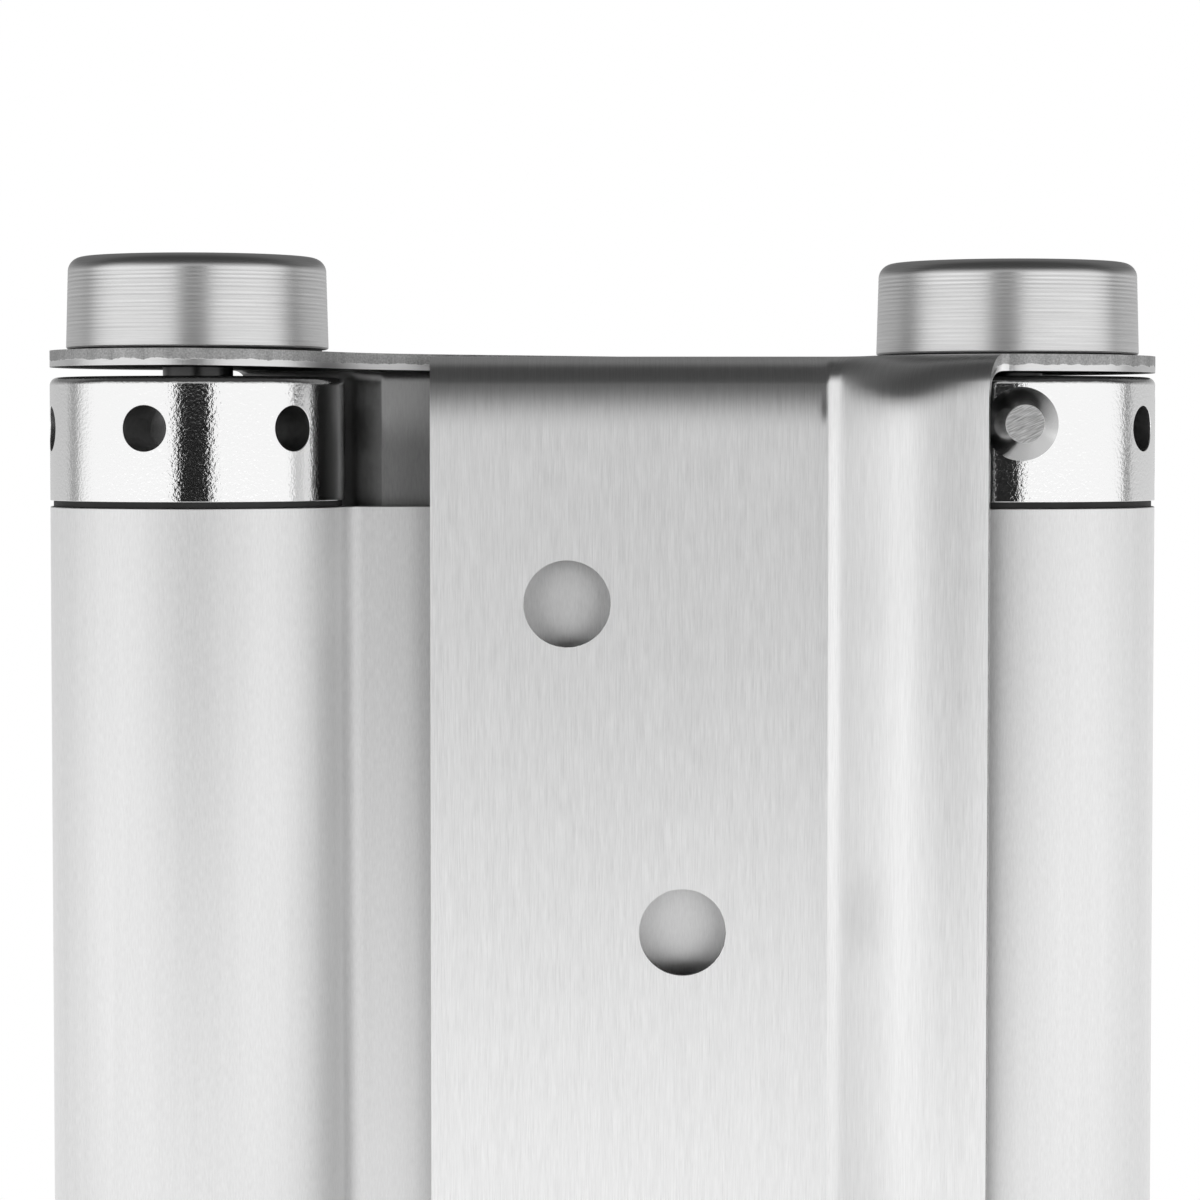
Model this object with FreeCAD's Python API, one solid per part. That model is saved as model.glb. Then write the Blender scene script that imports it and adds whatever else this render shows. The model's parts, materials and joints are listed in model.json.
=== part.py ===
import FreeCAD, Part
import math
import os

# A double action cafe hinge. One sheet is rolled into two barrels joined by a web, and a
# folded leaf swings on each barrel against a torsion spring. Millimetres, +Z up, -Y towards
# the viewer. The origin is midway between the barrel axes at mid-height. Half a turn about Z
# carries the right barrel and its front leaf onto the left barrel and its back leaf.

V = FreeCAD.Vector

# Barrels and web
sheet = 1.0             # thickness of the leaves and of the barrel sheet
axis_span = 49.6        # between the two barrel axes
barrel_d = 18.0         # outside of a barrel, its collars and the ears over them
barrel_h = 81.9         # height of the barrels and the web
web_bend_r = 1.5        # inside radius where the web bends into a barrel
seam_gap = 0.3          # between a barrel's rolled edge and the web

# Leaves
leaf_room = 1.1         # between a barrel and the leaf that hugs it
leaf_face = 3.3         # from the middle plane to a leaf's outer face
leaf_stop = 14.36       # from a leaf's free edge to the far barrel's axis
leaf_end = 11.6         # degrees short of square-on where the hugging part ends
crease_r = 0.5          # inside radius of the crease before the hugging part
fold_r = 0.7            # inside radius of the folds to the top and bottom flanges
flange_back = 0.4       # from the middle plane to a flange's straight edge
ear_blend_r = 8.0       # where an ear runs into its flange
notch_r = 1.8           # where an ear runs into the hugging edge

# Screw holes, countersunk at 45 degrees from the leaf's inner face
screw_d = 5.3
screw_seat_d = 6.6
outer_screw_in = 8.29   # from the leaf's free edge
outer_screw_pitch = 70.0
inner_screw_in = 15.31  # from the leaf's free edge
inner_screw_pitch = 30.0

# Collars
collar_h = 7.5          # height outside the barrel
collar_round = 0.7      # rounding of the outer rim
collar_chamfer = 0.5    # at the foot, beside the barrel's end
spigot_h = 6.0          # depth inside the barrel
spigot_chamfer = 0.4
spigot_run = 0.1        # running room of a tension collar's spigot
spigot_press = 0.02     # room of an anchor collar's pressed spigot
collar_rise = 0.1       # running gap between a barrel and its tension collar
ear_rise = 0.45         # open gap between a tension collar and its ear, at mid-play
bar_holes = 6           # round a tension collar, for the winding bar and the pin
bar_hole_d = 2.8
bar_hole_depth = 4.5
bar_hole_drop = 2.85    # below the collar's top

# Spindles, caps and washers
spindle_d = 4.3
spindle_run = 0.05      # running room in the collars
spindle_seat = 0.02     # room in the ears, caps and washers
spindle_chamfer = 0.3
cap_d = 16.0            # at the foot of a cap
cap_taper = 0.15        # less in radius at its top
cap_h = 5.7
cap_round = 0.9
cap_edge = 0.15         # chamfer at the foot
cap_bore_depth = 4.5
cap_bore_end = 0.2      # room beyond the spindle's end
washer_d = 12.0
washer_run = 0.05       # running room between a washer and its anchor collar
leaf_play = 0.18        # that the back leaf rides above mid-height and the front leaf below

# Tension pins
pin_room = 0.05         # in the collar's hole
pin_hold = 4.2          # length in the hole
pin_base_d = 4.5        # conical head, wide end on the collar
pin_end_d = 2.3
pin_head = 2.3
pin_stand = 0.02        # between the head and the collar
pin_gap = 0.1           # between the head's flank and the leaf's edge
left_slack = 46.0       # degrees that the left pin stands clear of its leaf

# Torsion springs, square wire
wire = 2.0
spring_d = 11.2         # mean diameter
spring_turns = 14
spring_room = 0.2       # between a spring's end coil and the collar
tang = 3.0              # length of an end bent into its collar
tang_room = 0.1

# Anchor rivets, flush with the barrel
rivet_d = 2.2
rivet_head_d = 3.8
rivet_hold = 3.6        # length inside the barrel's wall
rivet_room = 0.02

# Places that follow
origin = V(0, 0, 0)
up = V(0, 0, 1)
right_axis = V(axis_span / 2, 0, 0)
left_axis = V(-axis_span / 2, 0, 0)
barrel_r = barrel_d / 2
bore_r = barrel_r - sheet
wrap_out = barrel_r + leaf_room + sheet
wrap_in = wrap_out - sheet
leaf_h = barrel_h + 2 * (collar_rise + collar_h + ear_rise + sheet)
free_edge = left_axis.x + leaf_stop
beyond = 2 * axis_span


def polar(centre, radius, azimuth):
    """The point round a centre at an azimuth, in degrees from the front towards +X."""
    angle = math.radians(azimuth)
    return centre + V(radius * math.sin(angle), -radius * math.cos(angle), 0)


def azimuth_of(way):
    return math.degrees(math.atan2(way.x, -way.y))


def line(start, end):
    return Part.LineSegment(start, end).toShape()


def arc(centre, radius, first, last):
    middle = polar(centre, radius, (first + last) / 2)
    return Part.Arc(polar(centre, radius, first), middle, polar(centre, radius, last)).toShape()


def chain(points):
    return [line(start, end) for start, end in zip(points, points[1:])]


def prism(edges, height):
    """A closed plan outline, extruded by half the height above and below the middle."""
    face = Part.Face(Part.Wire(edges))
    face.translate(V(0, 0, -height / 2))
    return face.extrude(V(0, 0, height))


def single(shape):
    """The one solid that a cut or a union leaves."""
    if len(shape.Solids) != 1:
        raise ValueError("expected one solid, got %d" % len(shape.Solids))
    return shape.Solids[0]


def half_turn(shape):
    """The same piece on the other barrel."""
    copy = shape.copy()
    copy.rotate(origin, up, 180)
    return copy


def lathe(corners):
    """A solid turned about Z from (radius, height, rounding) corners, taken in order."""
    places = [V(radius, 0, height) for radius, height, rounding in corners]
    ends = []
    rounds = []
    for index, (radius, height, rounding) in enumerate(corners):
        corner = places[index]
        if not rounding:
            ends.append((corner, corner))
            continue
        back = (places[index - 1] - corner).normalize()
        ahead = (places[(index + 1) % len(places)] - corner).normalize()
        half = back.getAngle(ahead) / 2
        run = rounding / math.tan(half)
        start = corner + back * run
        end = corner + ahead * run
        inward = (back + ahead).normalize()
        middle = corner + inward * (rounding / math.sin(half) - rounding)
        ends.append((start, end))
        rounds.append(Part.Arc(start, middle, end).toShape())
    sides = [line(ends[index - 1][1], ends[index][0]) for index in range(len(ends))]
    profile = Part.Wire(Part.__sortEdges__(sides + rounds))
    return single(Part.Face(profile).revolve(origin, up, 360))


def barrel_web():
    """An S in plan: the web bends into the front of the left barrel and the back of the right."""
    face_y = sheet / 2
    bend_y = -face_y - web_bend_r
    bend_reach = barrel_r + web_bend_r
    bend = left_axis + V(math.sqrt(bend_reach ** 2 - bend_y ** 2), bend_y, 0)
    root = azimuth_of(bend - left_axis)
    back_r = web_bend_r + sheet
    seam_reach = back_r + seam_gap
    cosine = (barrel_r ** 2 + bend_reach ** 2 - seam_reach ** 2) / (2 * barrel_r * bend_reach)
    rolled_edge = root + math.degrees(math.acos(cosine)) - 360
    left_half = [
        arc(bend, web_bend_r, 180, root + 180),
        arc(left_axis, barrel_r, root, rolled_edge),
        line(polar(left_axis, barrel_r, rolled_edge), polar(left_axis, bore_r, rolled_edge)),
        arc(left_axis, bore_r, rolled_edge, root),
        arc(bend, back_r, root + 180, 180),
    ]
    right_half = [half_turn(edge) for edge in left_half]
    back_face = line(V(bend.x, face_y, 0), V(-bend.x, face_y, 0))
    front_face = line(V(-bend.x, -face_y, 0), V(bend.x, -face_y, 0))
    body = prism(left_half + [back_face] + right_half + [front_face], barrel_h)
    seat = rivet(rivet_room)
    seat.translate(right_axis)
    return single(body.cut(seat).cut(half_turn(seat)))


def crease_centre():
    """The centre of the crease, outside the flat part and the hugging part alike."""
    y = -leaf_face - crease_r
    return V(right_axis.x - math.sqrt((wrap_out + crease_r) ** 2 - y ** 2), y, 0)


def behind_leaf(inset, height, rounding):
    """All that lies behind a leaf's outer face, or behind its inner face one sheet further in,
    rounded at top and bottom where the sheet folds into the flanges."""
    crease = crease_centre()
    turn = azimuth_of(crease - right_axis)
    face_y = inset - leaf_face
    radius = wrap_out - inset
    start = V(-beyond, face_y, 0)
    end = V(right_axis.x + radius, 0, 0)
    path = [
        line(start, V(crease.x, face_y, 0)),
        arc(crease, crease_r + inset, 180, turn + 180),
        arc(right_axis, radius, turn, 90),
    ]
    far_side = chain([end, end + V(0, beyond, 0), V(-beyond, beyond, 0), start])
    body = prism(path + far_side, height)
    folds = [
        edge
        for edge in body.Edges
        if abs(abs(edge.CenterOfMass.z) - height / 2) < sheet / 10
        and any(abs(edge.Length - other.Length) < 1e-6 for other in path)
    ]
    return body.makeFillet(rounding, folds)


def leaf_plan():
    """The blank's outline in plan: free edge, flange, ear and the notch beside the hugging part."""
    ear_r = barrel_r
    blend_y = ear_blend_r - flange_back
    blend_reach = ear_r + ear_blend_r
    blend = right_axis + V(-math.sqrt(blend_reach ** 2 - blend_y ** 2), blend_y, 0)
    blend_turn = azimuth_of(blend - right_axis)
    notch_reach = ear_r + notch_r
    notch_turn = math.degrees(math.asin(notch_r / notch_reach)) - leaf_end
    notch = polar(right_axis, notch_reach, notch_turn)
    notch_start = polar(right_axis, math.sqrt(notch_reach ** 2 - notch_r ** 2), -leaf_end)
    outside = polar(right_axis, beyond, -leaf_end)
    flange_edge = V(free_edge, -flange_back, 0)
    edges = [
        line(outside, notch_start),
        arc(notch, notch_r, -leaf_end - 90, notch_turn - 180),
        arc(right_axis, ear_r, notch_turn, blend_turn + 360),
        arc(blend, ear_blend_r, blend_turn + 180, 0),
    ]
    edges += chain([V(blend.x, -flange_back, 0), flange_edge, V(free_edge, -beyond, 0), outside])
    return prism(edges, leaf_h)


def screw_hole(x, z):
    """A screw's hole through the leaf, with its countersink from the inner face."""
    inner_y = sheet - leaf_face
    sink = (screw_seat_d - screw_d) / 2
    outward = V(0, -1, 0)
    hole = Part.makeCylinder(screw_d / 2, 2 * sheet, V(x, inner_y + sheet / 2, z), outward)
    seat = Part.makeCone(screw_seat_d / 2, screw_d / 2, sink, V(x, inner_y, z), outward)
    return hole.fuse(seat)


def front_leaf():
    """A folded sheet: flat part, crease, hugging part, and a flange with an ear at each end."""
    body = leaf_plan().common(behind_leaf(0, leaf_h, fold_r + sheet))
    body = body.cut(behind_leaf(sheet, leaf_h - 2 * sheet, fold_r))
    for inset, pitch in ((outer_screw_in, outer_screw_pitch), (inner_screw_in, inner_screw_pitch)):
        for side in (-1, 1):
            body = body.cut(screw_hole(free_edge + inset, side * pitch / 2))
    spindle_hole = Part.makeCylinder(
        spindle_d / 2 + spindle_seat, leaf_h, right_axis - up * leaf_h / 2
    )
    return single(body.cut(spindle_hole))


def collar(spigot_r, rise):
    """A turned collar on the upper end of a barrel, with its spigot inside it."""
    foot = barrel_h / 2 + rise
    low = barrel_h / 2 - spigot_h
    bore = spindle_d / 2 + spindle_run
    return lathe([
        (bore, foot + collar_h, 0),
        (barrel_r, foot + collar_h, collar_round),
        (barrel_r, foot + collar_chamfer, 0),
        (barrel_r - collar_chamfer, foot, 0),
        (spigot_r, foot, 0),
        (spigot_r, low + spigot_chamfer, 0),
        (spigot_r - spigot_chamfer, low, 0),
        (bore, low, 0),
    ]).cut(tang_block(tang_room))


def tang_block(room):
    """The upper tang of a spring, on the side away from the rivet and from the middle of the end
    coil up, or the slot that it sits in."""
    size = wire + 2 * room
    coil_z = barrel_h / 2 - spigot_h - spring_room - wire / 2
    height = wire / 2 + spring_room + tang + room
    return Part.makeBox(size, size, height, V(-spring_d / 2 - size / 2, -room, coil_z))


def pin_azimuth():
    """Where the pin's flank stands pin_gap off the inner corner of the leaf's hugging edge."""
    narrowing = (pin_base_d - pin_end_d) / 2 / pin_head
    flank = pin_base_d / 2 - narrowing * leaf_room
    notch_start = math.sqrt((barrel_r + notch_r) ** 2 - notch_r ** 2)
    into_notch = max(notch_start - wrap_in, 0)
    corner = notch_r - math.sqrt(notch_r ** 2 - into_notch ** 2)
    return math.degrees(math.asin((flank + pin_gap + corner) / wrap_in)) - leaf_end


def bar_hole_z():
    return barrel_h / 2 + collar_rise + collar_h - bar_hole_drop


def tension_collar(first_hole):
    """The winding collar: a ring of holes, the first at an azimuth, and the spring's slot."""
    body = collar(bore_r - spigot_run, collar_rise)
    for index in range(bar_holes):
        azimuth = first_hole + index * 360 / bar_holes
        bottom = polar(origin, barrel_r - bar_hole_depth, azimuth) + up * bar_hole_z()
        way = polar(origin, 1, azimuth)
        body = body.cut(Part.makeCylinder(bar_hole_d / 2, 2 * bar_hole_depth, bottom, way))
    return single(body)


def tension_pin(azimuth):
    """A pin with a conical head, held in a collar's hole and pointing outwards."""
    shank = bar_hole_d / 2 - pin_room
    seat = barrel_r + pin_stand
    body = lathe([
        (0, barrel_r - pin_hold, 0),
        (shank, barrel_r - pin_hold, 0),
        (shank, seat, 0),
        (pin_base_d / 2, seat, 0),
        (pin_end_d / 2, seat + pin_head, 0),
        (0, seat + pin_head, 0),
    ])
    body.rotate(origin, V(1, 0, 0), 90)
    body.rotate(origin, up, azimuth)
    body.translate(up * bar_hole_z())
    return body


def anchor_collar():
    """The fixed collar at the barrel's lower end, with the spring's slot and the rivet's hole."""
    body = collar(bore_r - spigot_press, 0)
    body.rotate(origin, V(1, 0, 0), 180)
    return single(body.cut(rivet(rivet_room)))


def rivet(room):
    """A countersunk rivet through the barrel's outer side into the anchor collar, trimmed flush."""
    shank = rivet_d / 2 + room
    head = rivet_head_d / 2 + room
    sink = head - shank
    body = lathe([
        (0, bore_r - rivet_hold - room, 0),
        (shank, bore_r - rivet_hold - room, 0),
        (shank, barrel_r - sink, 0),
        (head, barrel_r, 0),
        (0, barrel_r, 0),
    ])
    body.rotate(origin, V(0, 1, 0), 90)
    body.translate(up * (spigot_h - barrel_h) / 2)
    flush = Part.makeCylinder(barrel_r, barrel_h, V(0, 0, -barrel_h / 2))
    return single(body.common(flush))


def torsion_spring():
    """A right-hand coil of square wire, whose end tangs turn up and down into the collars."""
    height = barrel_h - 2 * (spigot_h + spring_room) - wire
    helix = Part.makeHelix(height / spring_turns, height, spring_d / 2)
    half = wire / 2
    corners = [(-half, -half), (half, -half), (half, half), (-half, half), (-half, -half)]
    section = Part.makePolygon([V(spring_d / 2 + across, 0, along) for across, along in corners])
    coil = Part.Wire(helix).makePipeShell([section], True, True)
    coil.translate(V(0, 0, -height / 2))
    coil.rotate(origin, up, 180)
    upper = tang_block(0)
    lower = upper.copy()
    lower.rotate(origin, V(1, 0, 0), 180)
    return single(coil.fuse([upper, lower]))


def spindle():
    """A plain rod through both ears and collars, with chamfered ends inside the caps."""
    end = leaf_h / 2 + cap_bore_depth - cap_bore_end
    radius = spindle_d / 2
    return lathe([
        (0, -end, 0),
        (radius - spindle_chamfer, -end, 0),
        (radius, spindle_chamfer - end, 0),
        (radius, end - spindle_chamfer, 0),
        (radius - spindle_chamfer, end, 0),
        (0, end, 0),
    ])


def cap():
    """A turned button cap on the spindle's upper end, slightly tapered, with a rounded crown."""
    foot = leaf_h / 2
    bore = spindle_d / 2 + spindle_seat
    return lathe([
        (bore, foot, 0),
        (cap_d / 2 - cap_edge, foot, 0),
        (cap_d / 2, foot + cap_edge, 0),
        (cap_d / 2 - cap_taper, foot + cap_h, cap_round),
        (0, foot + cap_h, 0),
        (0, foot + cap_bore_depth, 0),
        (bore, foot + cap_bore_depth, 0),
    ])


def thrust_washer():
    """A plain washer on the lower ear, under the anchor collar."""
    low = sheet - leaf_h / 2
    high = -barrel_h / 2 - collar_h - washer_run - leaf_play
    bore = spindle_d / 2 + spindle_seat
    return lathe([(bore, low, 0), (washer_d / 2, low, 0), (washer_d / 2, high, 0), (bore, high, 0)])


def pieces():
    """Every piece by name. The left barrel's pieces are the right one's, half a turn on, but the
    spindle with its leaf, caps and washer takes up its play upwards there and downwards here."""
    upper_cap = cap()
    lower_cap = upper_cap.copy()
    lower_cap.rotate(origin, V(1, 0, 0), 180)
    with_barrel = {
        "anchor_collar": anchor_collar(),
        "anchor_rivet": rivet(0),
        "torsion_spring": torsion_spring(),
    }
    with_leaf = {
        "spindle": spindle(),
        "top_cap": upper_cap,
        "bottom_cap": lower_cap,
        "thrust_washer": thrust_washer(),
    }
    leaf = front_leaf()
    found = {
        "barrel_web": barrel_web(),
        "front_leaf": leaf.translated(-up * leaf_play),
        "back_leaf": half_turn(leaf).translated(up * leaf_play),
    }
    bearing = pin_azimuth()
    for side, azimuth, rise in (("right_", bearing, -leaf_play), ("left_", bearing + left_slack, leaf_play)):
        places = {name: (shape, 0) for name, shape in with_barrel.items()}
        places.update({name: (shape, rise) for name, shape in with_leaf.items()})
        places["tension_collar"] = (tension_collar(azimuth), 0)
        places["tension_pin"] = (tension_pin(azimuth), 0)
        for name, (shape, lift) in places.items():
            placed = shape.translated(right_axis + up * lift)
            found[side + name] = half_turn(placed) if side == "left_" else placed
    return found


os.makedirs("parts", exist_ok=True)
for node, solid in pieces().items():
    solid.exportStep("parts/" + node + ".step")
    print("%-22s %9.1f mm3  valid %s" % (node, solid.Volume, solid.isValid()))
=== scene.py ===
import collections
import json
import math

import bmesh
import bpy
import numpy as np
from bpy.props import FloatProperty, FloatVectorProperty, IntProperty, PointerProperty
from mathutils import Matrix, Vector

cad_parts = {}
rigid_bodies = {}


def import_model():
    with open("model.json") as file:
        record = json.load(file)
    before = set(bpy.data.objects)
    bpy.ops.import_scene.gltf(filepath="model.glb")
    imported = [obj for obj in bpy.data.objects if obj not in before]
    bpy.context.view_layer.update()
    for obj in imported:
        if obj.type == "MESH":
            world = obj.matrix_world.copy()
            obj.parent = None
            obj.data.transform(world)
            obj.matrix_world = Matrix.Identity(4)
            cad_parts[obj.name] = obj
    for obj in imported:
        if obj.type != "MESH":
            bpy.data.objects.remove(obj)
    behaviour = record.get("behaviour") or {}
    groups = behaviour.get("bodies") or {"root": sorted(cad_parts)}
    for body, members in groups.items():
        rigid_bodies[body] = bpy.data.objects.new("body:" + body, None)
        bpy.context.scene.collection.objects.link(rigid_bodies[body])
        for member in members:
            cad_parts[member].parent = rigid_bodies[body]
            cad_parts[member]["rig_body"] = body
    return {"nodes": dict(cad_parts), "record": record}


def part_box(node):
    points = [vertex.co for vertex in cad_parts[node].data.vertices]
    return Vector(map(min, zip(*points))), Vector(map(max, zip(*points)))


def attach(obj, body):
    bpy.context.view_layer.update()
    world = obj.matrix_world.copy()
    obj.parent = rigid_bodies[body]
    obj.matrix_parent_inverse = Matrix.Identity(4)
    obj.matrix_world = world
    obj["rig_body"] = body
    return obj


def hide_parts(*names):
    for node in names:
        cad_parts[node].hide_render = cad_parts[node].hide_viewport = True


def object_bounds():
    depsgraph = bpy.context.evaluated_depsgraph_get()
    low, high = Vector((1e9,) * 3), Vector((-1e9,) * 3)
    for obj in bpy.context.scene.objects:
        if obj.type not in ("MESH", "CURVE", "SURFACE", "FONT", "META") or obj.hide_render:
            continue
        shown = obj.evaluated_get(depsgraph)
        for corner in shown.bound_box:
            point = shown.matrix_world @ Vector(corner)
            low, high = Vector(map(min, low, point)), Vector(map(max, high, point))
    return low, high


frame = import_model()
cad_low, cad_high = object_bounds()

bl_info = {
    "name": "Double Action Cafe Hinge",
    "version": (1, 0, 0),
    "blender": (4, 5, 0),
    "location": "View3D > Sidebar > Hinge",
    "description": "Rolled barrels, folded leaves, chromed collars and turned caps of a swing door's hinge",
    "category": "Object",
}

# Lengths are metres, as in the frame. Azimuth runs about an upright axis, in radians from the
# front, -Y, towards +X. Half a turn about Z carries the right barrel's pieces to the left one's.

MM = 0.001
RIGHT_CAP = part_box("right_top_cap")
FRONT_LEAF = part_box("front_leaf")
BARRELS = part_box("barrel_web")
AXIS = np.array([(RIGHT_CAP[0].x + RIGHT_CAP[1].x) / 2, 0.0])
CAP_HEIGHT = RIGHT_CAP[1].z - RIGHT_CAP[0].z
LEAF_HEIGHT = FRONT_LEAF[1].z - FRONT_LEAF[0].z
BARREL_HEIGHT = BARRELS[1].z - BARRELS[0].z
SLOT_OF = {row["node"]: row["material_slot"] for row in frame["record"]["subparts"]}

# Along the hugging part of a leaf: its lean at a fold as a share of the flat's, and how soon it fades
HUG_STOPS = (0.0, 0.1, 0.2, 0.3, 0.4, 0.5, 0.6, 0.7, 0.8, 1.0)
HUG_LEANS = (0.1, 0.45, 0.95, 1.45, 1.85, 1.95, 1.7, 1.3, 1.0, 0.5)
HUG_FADES = (5.0, 5.5, 5.5, 4.8, 4.1, 3.6, 3.3, 3.0, 3.0, 3.0)
FLAT_FADE = 1.1  # How soon the flat's lean fades
PLAIN_STRIP = 1.0 * MM  # Beside a leaf's crease, clear of the screws
SCREW_ROOM = 10 * MM  # In from an outer screw to the next band of rows
SWELL_RISE = 0.3  # Share of the rubbed strip in which its swell comes
SHOULDER_END = 0.09  # Share of the hugging part at which the crease's shoulder ends
CURL_START = 0.35  # Share of it at which the curl starts
CURL_END = 0.7  # Share of it at which the curl is full
DENT_WIDTH = 0.3 * MM  # Across the dent beside a crease's tip
DENT_HEIGHT = 0.8 * MM  # Up that dent
FOLD_STRAIGHT = math.radians(60)  # Of a fold, where its sheet faces straight forwards
EAR_EASE = math.radians(22)  # Turn in which the hugging edge runs into the ear
EAR_RINGS = (0.0, 0.2, 0.9, 1.0)  # Shares from the spindle's hole to the ear's outline
DROOP_START = 40 * MM  # Height at which a leaf's droop starts
DROOP_SPAN = 8 * MM  # Height in which it becomes full
RIVET_SPREAD = math.radians(18)  # Either side of a barrel's rivet, in a finer grid
RIVET_ROOM = 4 * MM  # Above the rivet, in that grid
RIVET_REACH = 0.98  # Below the rivet, as a share of what is left of the barrel
COLLAR_NECK = 0.2 * MM  # Depth of the cut under a collar
SPIGOT_EDGE = 0.4 * MM  # Chamfer of a collar's spigot
MOUTH_EDGE = 0.04 * MM  # Rounding of a winding hole's mouth
MOUTH_RINGS = (0.0, 0.04, 0.12, 0.3, 0.6, 1.0)  # Shares from that mouth to its frame
CAP_NECK = 0.4 * MM  # Depth of the cut under a cap
SHALLOWEST = 0.35  # Of a cap's grooves, as a share of the deepest
FOOT_GROOVE = 0.25  # Of a cap's grooves at its foot, as a share of those at its top
PIN_EDGE = 0.06 * MM  # Rounding of a pin's end

Patch = collections.namedtuple("Patch", "points normals across along finish")


# Sizes


def length(name, description, default, **settings):
    """A length that can be set in the sidebar."""
    return FloatProperty(name=name, description=description, default=default, unit="LENGTH", **settings)


def angle(name, description, degrees):
    """An angle that can be set in the sidebar."""
    return FloatProperty(name=name, description=description, default=math.radians(degrees), subtype="ANGLE")


class LeafSizes(bpy.types.PropertyGroup):
    """The folded sheet of a leaf."""

    height: length("Height", "Over both flanges", LEAF_HEIGHT)
    free_edge: length("Free edge", "Where the flat part ends", FRONT_LEAF[0].x)
    sheet: length("Sheet", "Thickness of the sheet", 1.0 * MM)
    face: length("Face", "Middle plane to the outer face", 3.3 * MM)
    hug_radius: length("Hug radius", "Outside of the hugging part", 11.1 * MM)
    hug_end: angle("Hug end", "Short of square-on", 11.6)
    crease_radius: length("Crease radius", "Inside the crease", 0.5 * MM)
    fold_radius: length("Fold radius", "Inside the flange folds", 0.7 * MM)
    flange_back: length("Flange edge", "Middle plane to flange edge", 0.4 * MM)
    ear_radius: length("Ear radius", "Round end of an ear", 9.0 * MM)
    ear_blend: length("Ear blend", "Ear into flange", 8.0 * MM)
    corner_rise: length("Corner rise", "Corner starts below the fold", 1.2 * MM)
    corner_reach: length("Corner reach", "Hugging edge into ear", 1.2 * MM)
    lead_in: length("Lead-in", "Where the sheet starts to lean", 4.3 * MM)
    lean: angle("Lean", "Of the sheet under a fold", 19.6)
    groove: length("Groove", "Rubbed strip beside the crease", 0.2 * MM)
    swell: angle("Swell", "Of the rubbed strip", 30)
    shoulder: angle("Shoulder", "Of the crease into the hug", 25)
    dip: angle("Dip", "Of the crease, forwards", 2.5)
    dent: angle("Dent", "Beside the crease's tip", 8)
    bow: angle("Bow", "Of the flat at its free edge", 5)
    curl: angle("Curl", "Of the hugging edge", 15)
    droop: angle("Droop", "Of the back flanges", 0.7)
    spindle_hole: length("Spindle hole", "Diameter in the ear", 4.34 * MM)
    screw_hole: length("Screw hole", "Diameter at the outer face", 5.3 * MM)
    screw_seat: length("Screw seat", "Diameter at the inner face", 6.6 * MM)
    outer_screw: length("Outer screws", "In from the free edge", 8.29 * MM)
    outer_pitch: length("Outer pitch", "Between the outer screws", 70.0 * MM)
    inner_screw: length("Inner screws", "In from the free edge", 15.31 * MM)
    inner_pitch: length("Inner pitch", "Between the inner screws", 30.0 * MM)


class BarrelSizes(bpy.types.PropertyGroup):
    """The sheet that is rolled into two barrels."""

    height: length("Height", "Of the barrels and web", BARREL_HEIGHT - 0.5 * MM)
    radius: length("Radius", "Outside of a barrel", 9.0 * MM)
    sheet: length("Sheet", "Thickness of the sheet", 1.0 * MM)
    bend: length("Web bend", "Inside radius at the web", 1.5 * MM)
    seam: length("Seam", "Rolled edge to the web", 0.3 * MM)
    edge: length("Edge", "Rounding of the sheared ends", 0.06 * MM)
    rivet_head: length("Rivet head", "Diameter of its seat", 3.84 * MM)
    rivet_shank: length("Rivet shank", "Diameter of its hole", 2.24 * MM)
    rivet_drop: length("Rivet drop", "Below mid-height", 37.95 * MM)


class CollarSizes(bpy.types.PropertyGroup):
    """A turned collar with its spigot."""

    radius: length("Radius", "Outside of a collar", 9.0 * MM)
    height: length("Height", "Outside the barrel", 7.6 * MM)
    rim: length("Rim", "Rounding of the outer rim", 0.5 * MM)
    foot: length("Foot", "Rounding beside the barrel", 0.05 * MM)
    relief: length("Relief", "Height of the cut under it", 0.12 * MM)
    seat: length("Seat", "Neck's reach below the foot", 0.22 * MM)
    bore: length("Bore", "Radius of the spindle's bore", 2.2 * MM)
    spigot: length("Spigot", "Radius inside the barrel", 7.9 * MM)
    spigot_depth: length("Spigot depth", "Inside the barrel", 6.0 * MM)
    holes: IntProperty(name="Holes", description="Round a tension collar", default=6)
    hole: length("Hole", "Diameter of a winding hole", 2.7 * MM)
    hole_depth: length("Hole depth", "Of a winding hole", 4.5 * MM)
    hole_drop: length("Hole drop", "Below the collar's top", 2.85 * MM)
    hole_stray: length("Hole stray", "Open holes below the pin's", 0.26 * MM)
    first_hole: angle("First hole", "On the right collar", -0.701)
    left_slack: angle("Left slack", "Further turn on the left", 46)


class CapSizes(bpy.types.PropertyGroup):
    """A turned button cap."""

    radius: length("Radius", "At the foot", 8.0 * MM)
    taper: length("Taper", "Less at the top", 0.15 * MM)
    height: length("Height", "Above the ear", CAP_HEIGHT)
    crown: length("Crown", "Rounding of the top edge", 0.9 * MM)
    foot: length("Foot", "Rounding at the foot", 0.15 * MM)
    relief: length("Relief", "Height of the cut under it", 0.1 * MM)
    bore: length("Bore", "Radius of the bore", 2.17 * MM)
    bore_depth: length("Bore depth", "Up from the foot", 4.5 * MM)
    feed: length("Feed", "Between the tool's grooves", 0.24 * MM)
    groove: length("Groove", "Deepest groove", 0.011 * MM, precision=6)


class PinSizes(bpy.types.PropertyGroup):
    """A tension pin with its conical head."""

    base: length("Base", "Diameter on the collar", 4.36 * MM)
    end: length("End", "Diameter of the flat end", 2.3 * MM)
    head: length("Head", "Length of the cone", 2.3 * MM)
    stand: length("Stand", "Head clear of the collar", 0.02 * MM)
    shank: length("Shank", "Diameter in the hole", 2.7 * MM)
    hold: length("Hold", "Length in the hole", 4.2 * MM)


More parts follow.
